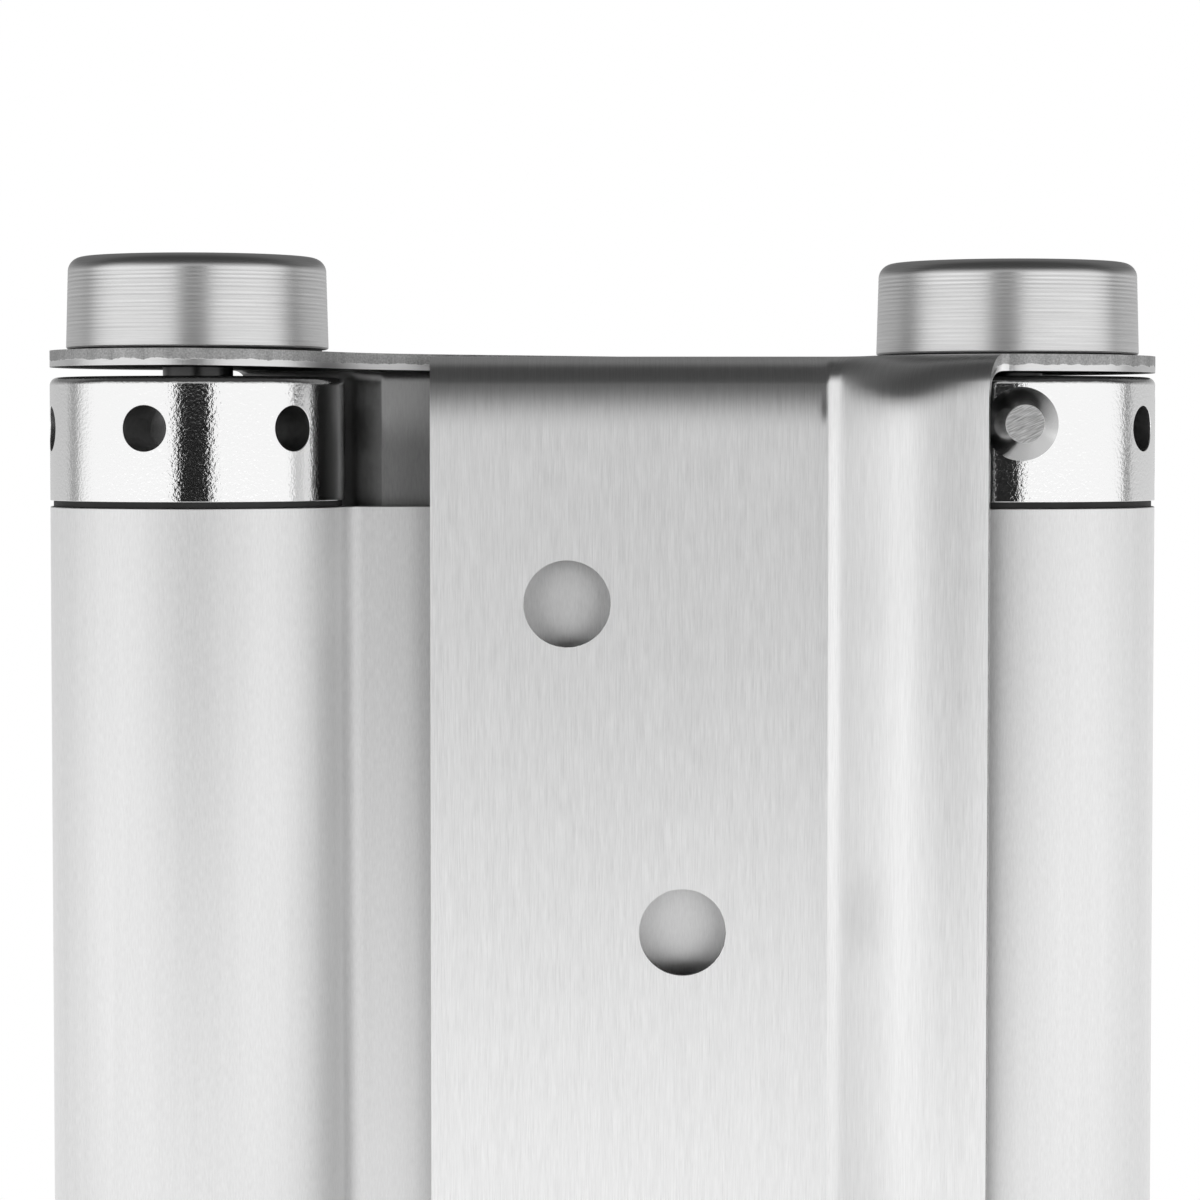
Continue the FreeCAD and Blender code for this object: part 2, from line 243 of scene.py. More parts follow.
class StudioSizes(bpy.types.PropertyGroup):
    """The camera and the light round the hinge."""

    camera: FloatVectorProperty(
        name="Camera", description="Its place", default=(-0.15 * MM, -227.3 * MM, 44.92 * MM), unit="LENGTH"
    )
    tilt: angle("Tilt", "Downwards", 2.52)
    view: angle("View", "Field of view", 18.42)
    floor: length("Floor", "Radius of the floor", 0.42)
    shade_away: length("Shade", "Distance of the camera's dark shade", 238 * MM)
    shade_low: FloatVectorProperty(
        name="Shade low", description="Its lower left", size=2, default=(-69 * MM, -60 * MM), unit="LENGTH"
    )
    shade_fade: FloatVectorProperty(
        name="Shade fade", description="Its soft edges", size=2, default=(75 * MM, 90 * MM), unit="LENGTH"
    )
    shade_high: FloatVectorProperty(
        name="Shade high", description="Its upper right", size=2, default=(43.5 * MM, 150 * MM), unit="LENGTH"
    )
    ceiling: FloatProperty(
        name="Ceiling", description="Brightness overhead", default=0.06, subtype="FACTOR"
    )


# Surfaces


def joined(*values):
    """Points from their coordinates, over one grid."""
    return np.stack(np.broadcast_arrays(*values), axis=-1)


def unit(ways):
    """The same directions, each 1 long."""
    return ways / np.linalg.norm(ways, axis=-1, keepdims=True)


def run_along(line):
    """The distance of each point of a line from its first point, along the line."""
    return np.concatenate([[0.0], np.cumsum(np.linalg.norm(np.diff(line, axis=0), axis=-1))])


def ring(centre, radius, azimuth):
    """Plan points round a centre: centre + radius (sin azimuth, -cos azimuth)."""
    return np.asarray(centre) + joined(radius * np.sin(azimuth), -radius * np.cos(azimuth))


def facing(azimuth):
    """Plan directions at azimuths: (sin azimuth, -cos azimuth)."""
    return ring((0, 0), 1.0, azimuth)


def axes_at(azimuth):
    """Three directions at an azimuth: sideways, up and out."""
    sideways = (math.cos(azimuth), math.sin(azimuth), 0.0)
    return np.array([sideways, (0.0, 0.0, 1.0), (math.sin(azimuth), -math.cos(azimuth), 0.0)])


def raised(plan, height):
    """Plan points with their heights, over one grid."""
    height = np.broadcast_to(height, plan.shape[:-1])
    return np.concatenate([plan, height[..., None]], axis=-1)


def patch(points, normals, across=0.0, along=0.0, finish=0):
    """A grid of points with its outward normals, its place on the sheet and its finish."""
    shape = points.shape[:2]
    return Patch(
        points,
        np.broadcast_to(normals, points.shape),
        np.broadcast_to(across, shape),
        np.broadcast_to(along, shape),
        finish,
    )


def wall(plan, normals, heights, across):
    """An upright wall: plan points carried through heights, as rows of heights."""
    heights = np.asarray(heights)[:, None]
    rows = np.broadcast_to(plan, (len(heights), *plan.shape))
    return patch(raised(rows, heights), raised(normals, 0.0), across, heights)


def window(hole, radius, across, along, shares=(0.0, 0.06, 0.25, 1.0)):
    """Rings from a round hole to a rectangular frame: rim + share (frame - rim)."""
    frame_points = np.concatenate([
        joined(across, along[0])[:-1],
        joined(across[-1], along)[:-1],
        joined(across[::-1], along[-1])[:-1],
        joined(across[0], along[::-1]),
    ])
    way = unit(frame_points - hole)
    rim = hole + radius * way
    return rim + np.reshape(shares, (-1, 1, 1)) * (frame_points - rim), way


def ramp(share):
    """A soft step from 0 to 1: s s (3 - 2 s) for a share s held between 0 and 1."""
    share = np.clip(share, 0, 1)
    return share * share * (3 - 2 * share)


def grid_normals(points, toward):
    """Normals of a grid of points, from the cross product of its two directions."""
    normals = unit(np.cross(np.gradient(points, axis=0), np.gradient(points, axis=1)))
    return normals * np.sign((normals * toward).sum(axis=-1, keepdims=True))


def rounding(before, corner, after, radius, steps=8):
    """An arc of a turned outline between the tangents at a corner: points and outward normals."""
    back = unit(np.subtract(before, corner))
    ahead = unit(np.subtract(after, corner))
    half = math.acos(np.clip(back @ ahead, -1, 1)) / 2
    inward = unit(back + ahead)
    side = unit(ahead - (ahead @ inward) * inward)
    sweep = np.linspace(half - math.pi / 2, math.pi / 2 - half, steps + 1)[:, None]
    ways = side * np.sin(sweep) - inward * np.cos(sweep)
    return corner + inward * radius / math.sin(half) + radius * ways, ways


def turned(centre, profile, azimuths, ways=None, finish=0):
    """A turned surface: each (radius, height) of a profile carried round an upright axis. Without
    given normals the profile is straight and has the solid on its left."""
    profile = np.asarray(profile, float)
    if ways is None:
        step = unit(profile[-1] - profile[0])
        ways = np.broadcast_to((step[1], -step[0]), profile.shape)
    plan = ring(centre, profile[:, :1], azimuths[None, :])
    normals = raised(ways[:, :1, None] * facing(azimuths)[None], ways[:, 1:])
    across = azimuths[None] * profile[:, 0].max()
    return patch(raised(plan, profile[:, 1:]), normals, across, run_along(profile)[:, None], finish)


def half_turned(patches):
    """The same surfaces on the other barrel: half a turn about Z."""
    flip = np.array([-1.0, -1.0, 1.0])
    return [p._replace(points=p.points * flip, normals=p.normals * flip) for p in patches]


def lifted(patches, height):
    """The same surfaces, moved up."""
    return [p._replace(points=p.points + np.array([0.0, 0.0, height])) for p in patches]


def on_side(patches, side):
    """Surfaces of the right barrel's end, on the side that is named."""
    return half_turned(patches) if side == "left" else patches


def upended(patches):
    """The same surfaces turned half round a left-to-right line, so that top and bottom change."""
    flip = np.array([1.0, -1.0, -1.0])
    return [p._replace(points=p.points * flip, normals=p.normals * flip) for p in patches]


def weld(name, patches):
    """One closed mesh of all the patches: a quad in each grid cell, wound to face along its
    normals, with the doubles on shared borders merged and the worked-out normals kept."""
    quads = []
    finishes = []
    start = 0
    for p in patches:
        rows, columns = p.points.shape[:2]
        index = start + np.arange(rows * columns).reshape(rows, columns)
        corners = (index[:-1, :-1], index[:-1, 1:], index[1:, 1:], index[1:, :-1])
        cells = np.stack(corners, axis=-1).reshape(-1, 4)
        quads.append(cells)
        finishes.append(np.full(len(cells), p.finish))
        start += rows * columns
    quads = np.concatenate(quads)
    points = np.concatenate([p.points.reshape(-1, 3) for p in patches])
    normals = np.concatenate([p.normals.reshape(-1, 3) for p in patches])
    places = np.concatenate([np.stack([p.across, p.along], axis=-1).reshape(-1, 2) for p in patches])
    ends = points[quads]
    wound = np.cross(ends[:, 2] - ends[:, 0], ends[:, 3] - ends[:, 1])
    backwards = (wound * normals[quads].sum(axis=1)).sum(axis=-1) < 0
    quads[backwards] = quads[backwards][:, ::-1]
    mesh = bpy.data.meshes.new(name)
    mesh.from_pydata(points.tolist(), [], quads.tolist())
    mesh.uv_layers.new(name="sheet").uv.foreach_set("vector", places[quads].ravel())
    kept = mesh.attributes.new("worked_normal", "FLOAT_VECTOR", "CORNER")
    kept.data.foreach_set("vector", normals[quads].ravel())
    mesh.polygons.foreach_set("material_index", np.concatenate(finishes))
    shell = bmesh.new()
    shell.from_mesh(mesh)
    bmesh.ops.remove_doubles(shell, verts=shell.verts, dist=0.001 * MM)
    open_edges = [edge for edge in shell.edges if not edge.is_manifold]
    if open_edges:
        raise ValueError("%s has %d open edges" % (name, len(open_edges)))
    shell.to_mesh(mesh)
    shell.free()
    loops = np.empty(len(mesh.loops) * 3)
    mesh.attributes["worked_normal"].data.foreach_get("vector", loops)
    mesh.attributes.remove(mesh.attributes["worked_normal"])
    mesh.shade_smooth()
    mesh.normals_split_custom_set(loops.reshape(-1, 3).tolist())
    return mesh


def linked(name, data):
    """An object with its data, in the scene."""
    made = bpy.data.objects.new(name, data)
    bpy.context.scene.collection.objects.link(made)
    return made


def stand_for(node, name, patches, materials):
    """A finished piece in the place of a CAD node, on its body and with the given finishes."""
    mesh = weld(name, patches)
    for material in materials:
        mesh.materials.append(material)
    piece = linked(name, mesh)
    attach(piece, frame["nodes"][node]["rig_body"])
    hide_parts(node)
    return piece


# Pieces


def leaf_surfaces(sizes):
    """The front leaf about mid-height. A depth of 0 is the sheet's outer face and a depth of the
    sheet its inner face. At a fold the sheet follows arcs about one centre line, so a depth lies
    at inset = bend - (bend - depth) cos fold and height = straight + (bend - depth) sin fold. The
    run up the sheet, on the flat and round the fold, is worked as if the sheet were laid out."""
    sheet, face, hug = sizes.sheet, sizes.face, sizes.hug_radius
    bend = sizes.fold_radius + sheet
    straight = sizes.height / 2 - bend
    lean_low = straight - sizes.lead_in

    crease_y = -face - sizes.crease_radius
    crease = AXIS + (-math.sqrt((hug + sizes.crease_radius) ** 2 - crease_y**2), crease_y)
    turn = math.atan2(crease[0] - AXIS[0], -crease_y)
    swell_x = crease[0] - PLAIN_STRIP
    groove_x = crease[0] - sizes.groove
    blend_y = sizes.ear_blend - sizes.flange_back
    blend_x = math.sqrt((sizes.ear_radius + sizes.ear_blend) ** 2 - blend_y**2)
    blend = AXIS + (-blend_x, blend_y)
    blend_turn = math.atan2(-blend_x, -blend_y)

    flat_x = np.linspace(sizes.free_edge, swell_x, 13)
    swell_at = np.concatenate([np.linspace(swell_x, groove_x, 6), np.linspace(groove_x, crease[0], 8)[1:]])
    line_x = np.concatenate([flat_x, swell_at[1:]])
    crease_at = np.linspace(math.pi, turn + math.pi, 13)[1:]
    hug_share = np.linspace(0, 1, 29)[1:]
    folds = np.linspace(0, math.pi / 2, 13)[:, None]
    depths = np.linspace(0, sheet, 4)[None, :]

    band_end = sizes.outer_pitch / 2 - SCREW_ROOM
    bands = [-lean_low, -band_end, 0.0, band_end, lean_low]
    band_rows = [np.linspace(low, high, 11) for low, high in zip(bands, bands[1:])]
    lead_rows = np.linspace(lean_low, straight, 10)
    rows = np.concatenate([-lead_rows[::-1], *[row[1:] for row in band_rows], lead_rows[1:]])
    outer_x, inner_x = sizes.free_edge + sizes.outer_screw, sizes.free_edge + sizes.inner_screw
    holes = np.array([
        (outer_x, -sizes.outer_pitch / 2),
        (inner_x, -sizes.inner_pitch / 2),
        (inner_x, sizes.inner_pitch / 2),
        (outer_x, sizes.outer_pitch / 2),
    ])

    # How far the sheet leans at a fold's foot, and how soon that fades: most midway along the
    # hugging part, and hardly at the crease
    worn = ramp((line_x - crease[0]) / (2 * sizes.groove) + 1)
    creased = np.concatenate([worn, np.ones(crease_at.size), 0 * hug_share])
    most = sizes.lean * (1 - (1 - HUG_LEANS[0]) * creased)
    most[-hug_share.size :] = sizes.lean * np.interp(hug_share, HUG_STOPS, HUG_LEANS)
    fade = np.full(creased.size, FLAT_FADE)
    fade[-hug_share.size :] = np.interp(hug_share, HUG_STOPS, HUG_FADES)
    dent = sizes.dent * np.exp(-(((line_x - groove_x) / DENT_WIDTH + 0.5) ** 2)) * (line_x <= groove_x)
    dent = np.concatenate([dent, np.zeros(creased.size - line_x.size)])

    def flat_turn(x):
        """The flat's azimuth: bowed at the free edge, and swollen beside the crease."""
        bow = np.clip((swell_x - x) / (swell_x - sizes.free_edge), 0, 1)
        return -sizes.bow * bow - sizes.swell * ramp((x - groove_x) / (SWELL_RISE * sizes.groove))

    def hug_limit(run):
        """Where the hugging part ends: a quarter ellipse on the laid-out sheet takes it to the ear."""
        span = sizes.corner_rise + bend * math.pi / 2
        share = np.clip((np.abs(run) - straight + sizes.corner_rise) / span, 0, 1)
        return sizes.corner_reach / hug * (1 - np.sqrt(1 - share**2)) - sizes.hug_end

    def lines(inset, run, fold):
        """Points along the sheet, at insets and runs, and normals that lean back by the fold."""
        inset, run, fold = (np.reshape(value, (-1, 1)) for value in np.broadcast_arrays(inset, run, fold))
        radius = hug - inset
        hug_at = turn + (hug_limit(run) - turn) * hug_share
        flat = joined(line_x, inset - face)
        hollow = ring(crease, sizes.crease_radius + inset, crease_at)
        points = np.concatenate([flat, hollow, ring(AXIS, radius, hug_at)], axis=1)
        crease_turn = -sizes.swell + (turn + sizes.shoulder + sizes.swell) * (crease_at - math.pi) / turn
        curl = sizes.curl * ramp((hug_share - CURL_START) / (CURL_END - CURL_START))
        hug_turn = hug_at + sizes.shoulder * (1 - ramp(hug_share / SHOULDER_END)) + curl
        line_turn = np.concatenate([flat_turn(line_x), crease_turn])
        line_turn = np.broadcast_to(line_turn, (len(inset), line_turn.size))
        flattened = np.concatenate([np.ones(line_turn.shape[1]), 1 - hug_share])
        azimuth = np.concatenate([line_turn, hug_turn], axis=1)
        azimuth = azimuth * (1 - flattened * ramp(fold / FOLD_STRAIGHT))
        lead = most * np.clip((np.abs(run) - lean_low) / sizes.lead_in, 0, 1) ** fade
        lead = lead + dent * np.exp(-(((straight - np.abs(run)) / DENT_HEIGHT - 2) ** 2))
        lead = lead - sizes.dip * creased * (1 - fold / (math.pi / 2))
        lean = lead + (math.pi / 2 - most) * fold / (math.pi / 2)
        up = np.sign(run) * np.sin(lean)
        return points, raised(np.cos(lean)[..., None] * facing(azimuth), up)

    crease_run = crease[0] + sizes.crease_radius * (math.pi - crease_at)
    hug_run = crease_run[-1] + hug * (-sizes.hug_end - turn) * hug_share
    sheet_run = np.concatenate([line_x, crease_run, hug_run])

    # The plate of a flange and its ear: rings about the spindle's hole, and a strip beside them
    flange_run = straight + bend * math.pi / 2
    strip_steps = line_x.size + crease_at.size
    fold_line = lines(bend, flange_run, math.pi / 2)[0][0]
    hug_line = fold_line[strip_steps - 1 :]
    ease_at = hug_limit(flange_run) + np.linspace(0, EAR_EASE, 13)
    ease_share = ramp(np.linspace(0, 1, 13))
    ease_line = ring(AXIS, hug - bend + (sizes.ear_radius - hug + bend) * ease_share, ease_at)
    ear_line = ring(AXIS, sizes.ear_radius, np.linspace(ease_at[-1], blend_turn + 2 * math.pi, 73))
    blend_line = ring(blend, sizes.ear_blend, np.linspace(blend_turn + math.pi, 0, crease_at.size + 1))
    back_x = blend[0] + (sizes.free_edge - blend[0]) * np.linspace(0, 1, line_x.size)
    back_line = joined(back_x, -sizes.flange_back)
    chord_share = np.linspace(0, 1, 7)[:, None]
    chord = ear_line[-1] + (hug_line[0] - ear_line[-1]) * chord_share
    loop = np.concatenate([hug_line, ease_line[1:], ear_line[1:], chord[1:]])
    loop_way = unit(loop - AXIS)
    hole_rim = AXIS + loop_way * sizes.spindle_hole / 2
    ear_plan = hole_rim + np.reshape(EAR_RINGS, (-1, 1, 1)) * (loop - hole_rim)
    strip_front = fold_line[:strip_steps][::-1]
    strip_back = np.concatenate([blend_line, back_line[1:]])
    strip_plan = strip_front + chord_share[:, :, None] * (strip_back - strip_front)
    outline = np.concatenate([ease_line, ear_line[1:], strip_back[1:]])
    heading = unit(np.gradient(outline, axis=0))
    outline_way = joined(heading[:, 1], -heading[:, 0])

    made = []
    # The inner face takes the mill finish, painted darker as shade for the recesses it faces
    for depth, outward, finish in ((0.0, 1.0, 0), (sheet, -1.0, 2)):
        reach = bend - depth
        points, normals = lines(depth, rows, 0.0)
        points = raised(points, rows[:, None])
        normals = outward * normals
        past, flat = slice(flat_x.size - 1, None), slice(0, flat_x.size)
        for part, over in (
            (slice(None), past), (slice(0, lead_rows.size), flat), (slice(-lead_rows.size, None), flat),
        ):
            place = (sheet_run[over], rows[part, None])
            made.append(patch(points[part, over], normals[part, over], *place, finish))
        hole_radius = (sizes.screw_hole if outward > 0 else sizes.screw_seat) / 2
        for band, hole in zip(band_rows, holes):
            spread = window(hole, hole_radius, flat_x, band)[0]
            pierced = joined(spread[..., 0], depth - face, spread[..., 1])
            bowed = outward * raised(facing(flat_turn(spread[..., 0])), 0.0)
            made.append(patch(pierced, bowed, spread[..., 0], spread[..., 1], finish))
        for end in (1.0, -1.0):
            run = end * (straight + bend * folds)
            points, normals = lines(bend - reach * np.cos(folds), run, folds)
            points = raised(points, end * (straight + reach * np.sin(folds)))
            made.append(patch(points, outward * normals, sheet_run, run, finish))
            for plan in (ear_plan, strip_plan):
                back = flange_run + plan[..., 1] + face - bend
                plate = raised(plan, end * (straight + reach))
                # A plate's inner face takes the steel painted dark as shade under the flange
                under = 0 if outward > 0 else 3
                made.append(patch(plate, (0.0, 0.0, outward * end), plan[..., 0], end * back, under))

    for band, hole in zip(band_rows, holes):
        way = window(hole, sizes.screw_hole / 2, flat_x, band)[1]
        sink = (sizes.screw_seat - sizes.screw_hole) / 2
        for start, end, slope in ((0.0, sheet - sink, 0.0), (sheet - sink, sheet, 1.0)):
            depth = np.linspace(start, end, 3)[:, None]
            radius = sizes.screw_hole / 2 + slope * (depth - start)
            x = hole[0] + radius * way[:, 0]
            z = hole[1] + radius * way[:, 1]
            points = joined(x, depth - face, z)
            normals = joined(-way[:, 0], slope, -way[:, 1])
            made.append(patch(points, normals / math.hypot(1, slope), x, depth, 1))

    def rim(points, toward, run):
        """The cut edge through the sheet, with its run and depth as its place."""
        made.append(patch(points, grid_normals(points, toward), run, depths, 1))

    free = np.array([-1.0, 0.0, 0.0])
    onward = np.array([math.cos(sizes.hug_end), -math.sin(sizes.hug_end), 0.0])
    upright = rows[:, None]
    free_points = joined(sizes.free_edge, depths - face, upright)
    rim(free_points, free, upright)
    rim(raised(ring(AXIS, hug - depths, hug_limit(upright)), upright), onward, upright)
    for end in (1.0, -1.0):
        inset = bend - (bend - depths) * np.cos(folds)
        fold_height = end * (straight + (bend - depths) * np.sin(folds))
        run = straight + bend * folds
        fold_points = joined(sizes.free_edge, inset - face, fold_height)
        rim(fold_points, free, end * run)
        rim(raised(ring(AXIS, hug - inset, hug_limit(run)), fold_height), onward, end * run)
        plate_height = end * (straight + bend - depths)
        free_line = strip_plan[:, -1:, 1]
        plate_points = joined(sizes.free_edge, free_line, plate_height)
        rim(plate_points, free, flange_run + free_line)
        around = raised(np.repeat(outline[:, None], depths.size, axis=1), plate_height)
        place = flange_run + run_along(outline)[:, None]
        made.append(patch(around, raised(outline_way[:, None], 0.0), place, depths, 1))
        bore = raised(np.repeat(hole_rim[:, None], depths.size, axis=1), plate_height)
        made.append(patch(bore, raised(-loop_way[:, None], 0.0), 0.0, depths, 1))
    return made


def drooped(patches, slope):
    """A leaf whose flanges fall a little towards its free edge, as its spring pulls it askew."""
    bent = []
    for p in patches:
        x, z = p.points[..., 0], p.points[..., 2]
        near = ramp((np.abs(z) - DROOP_START) / DROOP_SPAN)
        fall = np.sign(z) * near * math.tan(slope) * np.maximum(AXIS[0] - x, 0)
        bent.append(p._replace(points=np.stack([x, p.points[..., 1], z - fall], axis=-1)))
    return bent


def barrel_surfaces(sizes):
    """The left barrel and half of the web, and the same half a turn on. In plan the sheet runs
    from its rolled edge round the barrel, through the bend and along the web."""
    half, edge, sheet = sizes.height / 2, sizes.edge, sizes.sheet
    left = -AXIS
    bend_y = -sheet / 2 - sizes.bend
    bend_reach = sizes.radius + sizes.bend
    bend = left + (math.sqrt(bend_reach**2 - bend_y**2), bend_y)
    root = math.atan2(bend[0] - left[0], -bend_y)
    seam_reach = sizes.bend + sheet + sizes.seam
    cosine = (sizes.radius**2 + bend_reach**2 - seam_reach**2) / (2 * sizes.radius * bend_reach)
    rolled = root + math.acos(cosine) - 2 * math.pi
    rivet = -math.pi / 2
    head, shank = sizes.rivet_head / 2, sizes.rivet_shank / 2
    before = np.linspace(rolled, rivet - RIVET_SPREAD, 64)
    beside = np.linspace(rivet - RIVET_SPREAD, rivet + RIVET_SPREAD, 13)
    after = np.linspace(rivet + RIVET_SPREAD, root, 60)
    barrel_at = np.concatenate([before, beside[1:], after[1:]])
    bend_at = np.linspace(root + math.pi, math.pi, 13)[1:]
    low, high = edge - half, half - edge
    window_low = -sizes.rivet_drop - (half - edge - sizes.rivet_drop) * RIVET_REACH
    window_high = -sizes.rivet_drop + RIVET_ROOM
    window_rows = np.linspace(window_low, window_high, 9)
    rows = np.concatenate([[low], window_rows, [high]])

    def side(radius, bend_radius, face_y, outward):
        """Plan points and normals of one face of the sheet, from the rolled edge to mid-web."""
        web = np.array([(0.0, face_y)])
        points = np.concatenate([ring(left, radius, barrel_at), ring(bend, bend_radius, bend_at), web])
        round_way = facing(barrel_at)
        bend_way = -facing(bend_at)
        web_way = np.broadcast_to((0.0, -1.0), web.shape)
        return points, outward * np.concatenate([round_way, bend_way, web_way])

    outer, outer_way = side(sizes.radius, sizes.bend, -sheet / 2, 1.0)
    inner, inner_way = side(sizes.radius - sheet, sizes.bend + sheet, sheet / 2, -1.0)
    faces = ((outer, outer_way), (inner, inner_way))
    sheet_run = run_along(outer)
    first = len(before) - 1
    last = first + len(beside) - 1

    made = []
    for (plan, way), hole in zip(faces, (head, shank)):
        for part in (slice(0, first + 1), slice(last, None)):
            made.append(wall(plan[part], way[part], rows, sheet_run[None, part]))
        for ends in (rows[:2], rows[-2:]):
            part = slice(first, last + 1)
            made.append(wall(plan[part], way[part], ends, sheet_run[None, part]))
        radius = math.hypot(*(plan[first] - left))
        place = np.array([radius * rivet, -sizes.rivet_drop])
        spread_out = window(place, hole, radius * beside, window_rows)[0]
        at = spread_out[..., 0] / radius
        points = raised(ring(left, radius, at), spread_out[..., 1])
        outward = np.sign((way[first] * (plan[first] - left)).sum())
        across = sheet_run[first] + spread_out[..., 0] - radius * beside[0]
        made.append(patch(points, raised(outward * facing(at), 0.0), across, spread_out[..., 1]))

    # The rivet's seat through the wall: a cone, then its shank's hole
    rims = []
    for radius, hole in ((sizes.radius, head), (sizes.radius - sheet, shank)):
        place = np.array([radius * rivet, -sizes.rivet_drop])
        rim, way = window(place, hole, radius * beside, window_rows)
        rims.append(raised(ring(left, radius, rim[0, :, 0] / radius), rim[0, :, 1]))
    neck = rims[1] + np.array([-(sheet - (head - shank)), 0.0, 0.0])
    inward = joined(0.0, way[:, 0], -way[:, 1])
    cone = (inward + np.array([-1.0, 0.0, 0.0])) / math.sqrt(2)
    made.append(patch(np.stack([rims[0], neck]), cone, 0.0, 0.0, 1))
    made.append(patch(np.stack([neck, rims[1]]), inward, 0.0, 0.0, 1))

    # The sheared ends, with rounded edges, and the rolled edge
    curl = np.linspace(0, math.pi / 2, 4)[:, None]
    for end in (1.0, -1.0):
        hem = []
        for plan, way in faces:
            points = plan - way * edge * (1 - np.cos(curl))[..., None]
            rounded_edge = raised(points, end * (half - edge + edge * np.sin(curl)))
            normals = raised(way * np.cos(curl)[..., None], end * np.sin(curl))
            made.append(patch(rounded_edge, normals, sheet_run, end * half, 1))
            hem.append(rounded_edge[-1])
        made.append(patch(np.stack(hem), (0.0, 0.0, end), sheet_run, np.array([[0.0], [sheet]]), 1))
    section = []
    for plan, way in faces:
        corner = plan[0] - way[0] * edge * (1 - np.cos(curl))
        lift = half - edge + edge * np.sin(curl)
        lower = raised(corner, -lift[:, 0])[::-1]
        upper = raised(corner, lift[:, 0])
        middle = raised(np.repeat(plan[:1], len(rows), axis=0), rows)
        section.append(np.concatenate([lower[:-1], middle, upper[1:]]))
    tangent = ring((0, 0), -1.0, rolled + math.pi / 2)
    made.append(patch(np.stack(section), raised(tangent, 0.0), 0.0, np.array([[0.0], [sheet]]), 1))
    return made + half_turned(made)


def collar_surfaces(sizes, foot_height, first_hole):
    """A collar on the right barrel's upper end, with its winding holes unless first_hole is
    None. The outline runs down the bore, out under the spigot and up the outside."""
    top = foot_height + sizes.height
    low = BARREL_HEIGHT / 2 - sizes.spigot_depth
    start = 0.0 if first_hole is None else first_hole
    pitch = 2 * math.pi / sizes.holes
    around = start - pitch / 2 + np.linspace(0, 2 * math.pi, sizes.holes * 20 + 1)
    neck = sizes.radius - COLLAR_NECK
    edge = foot_height + sizes.relief
    under, side, over = (neck, edge), (sizes.radius, edge), (sizes.radius, top)
    foot, foot_way = rounding(under, side, over, sizes.foot)
    rim, rim_way = rounding(side, over, (sizes.bore, top), sizes.rim)
    corners = [
        (sizes.bore, top),
        (sizes.bore, low),
        (sizes.spigot - SPIGOT_EDGE, low),
        (sizes.spigot, low + SPIGOT_EDGE),
        (sizes.spigot, foot_height - sizes.seat),
        (neck, foot_height - sizes.seat),
        under,
        foot[0],
    ]
    # The bore, spigot and neck take the steel painted dark as shade inside and under the collar
    made = [turned(AXIS, pair, around, None, 2) for pair in zip(corners, corners[1:])]
    made.append(turned(AXIS, foot, around, foot_way))
    made.append(turned(AXIS, rim, around, rim_way))
    made.append(turned(AXIS, (rim[-1], corners[0]), around))
    band = np.linspace(foot[-1, 1], rim[0, 1], 13)
    if first_hole is None:
        return made + [turned(AXIS, joined(sizes.radius, band), around)]
    mouth = sizes.hole / 2 + MOUTH_EDGE
    for index in range(sizes.holes):
        height = top - sizes.hole_drop - (sizes.hole_stray if index else 0.0)
        azimuth = start + index * pitch
        across = sizes.radius * (azimuth + np.linspace(-pitch / 2, pitch / 2, 21))
        hole = np.array([sizes.radius * azimuth, height])
        spread, way = window(hole, mouth, across, band, MOUTH_RINGS)
        at = spread[..., 0] / sizes.radius
        points = raised(ring(AXIS, sizes.radius, at), spread[..., 1])
        made.append(patch(points, raised(facing(at), 0.0), spread[..., 0], spread[..., 1]))
        axes = axes_at(azimuth)
        out = axes[2]
        spoke = way @ axes[:2]
        middle = np.array([*AXIS, height])
        curl = np.linspace(0, math.pi / 2, 4)[:, None, None]
        rim_out = (points[0] - middle) @ out
        lip = middle + out * (rim_out[:, None] - MOUTH_EDGE * np.sin(curl))
        lip = lip + spoke * (mouth - MOUTH_EDGE * (1 - np.cos(curl)))
        lip[0] = points[0]
        lip_way = out * np.cos(curl) - spoke * np.sin(curl)
        made.append(patch(lip, lip_way))
        floor_out = sizes.radius - sizes.hole_depth
        side = np.stack([lip[-1], middle + out * floor_out + spoke * sizes.hole / 2])
        made.append(patch(side, -spoke, 0.0, 0.0, 1))
        disc = np.stack([side[1], np.broadcast_to(middle + out * floor_out, side[1].shape)])
        made.append(patch(disc, out, 0.0, 0.0, 1))
    return made


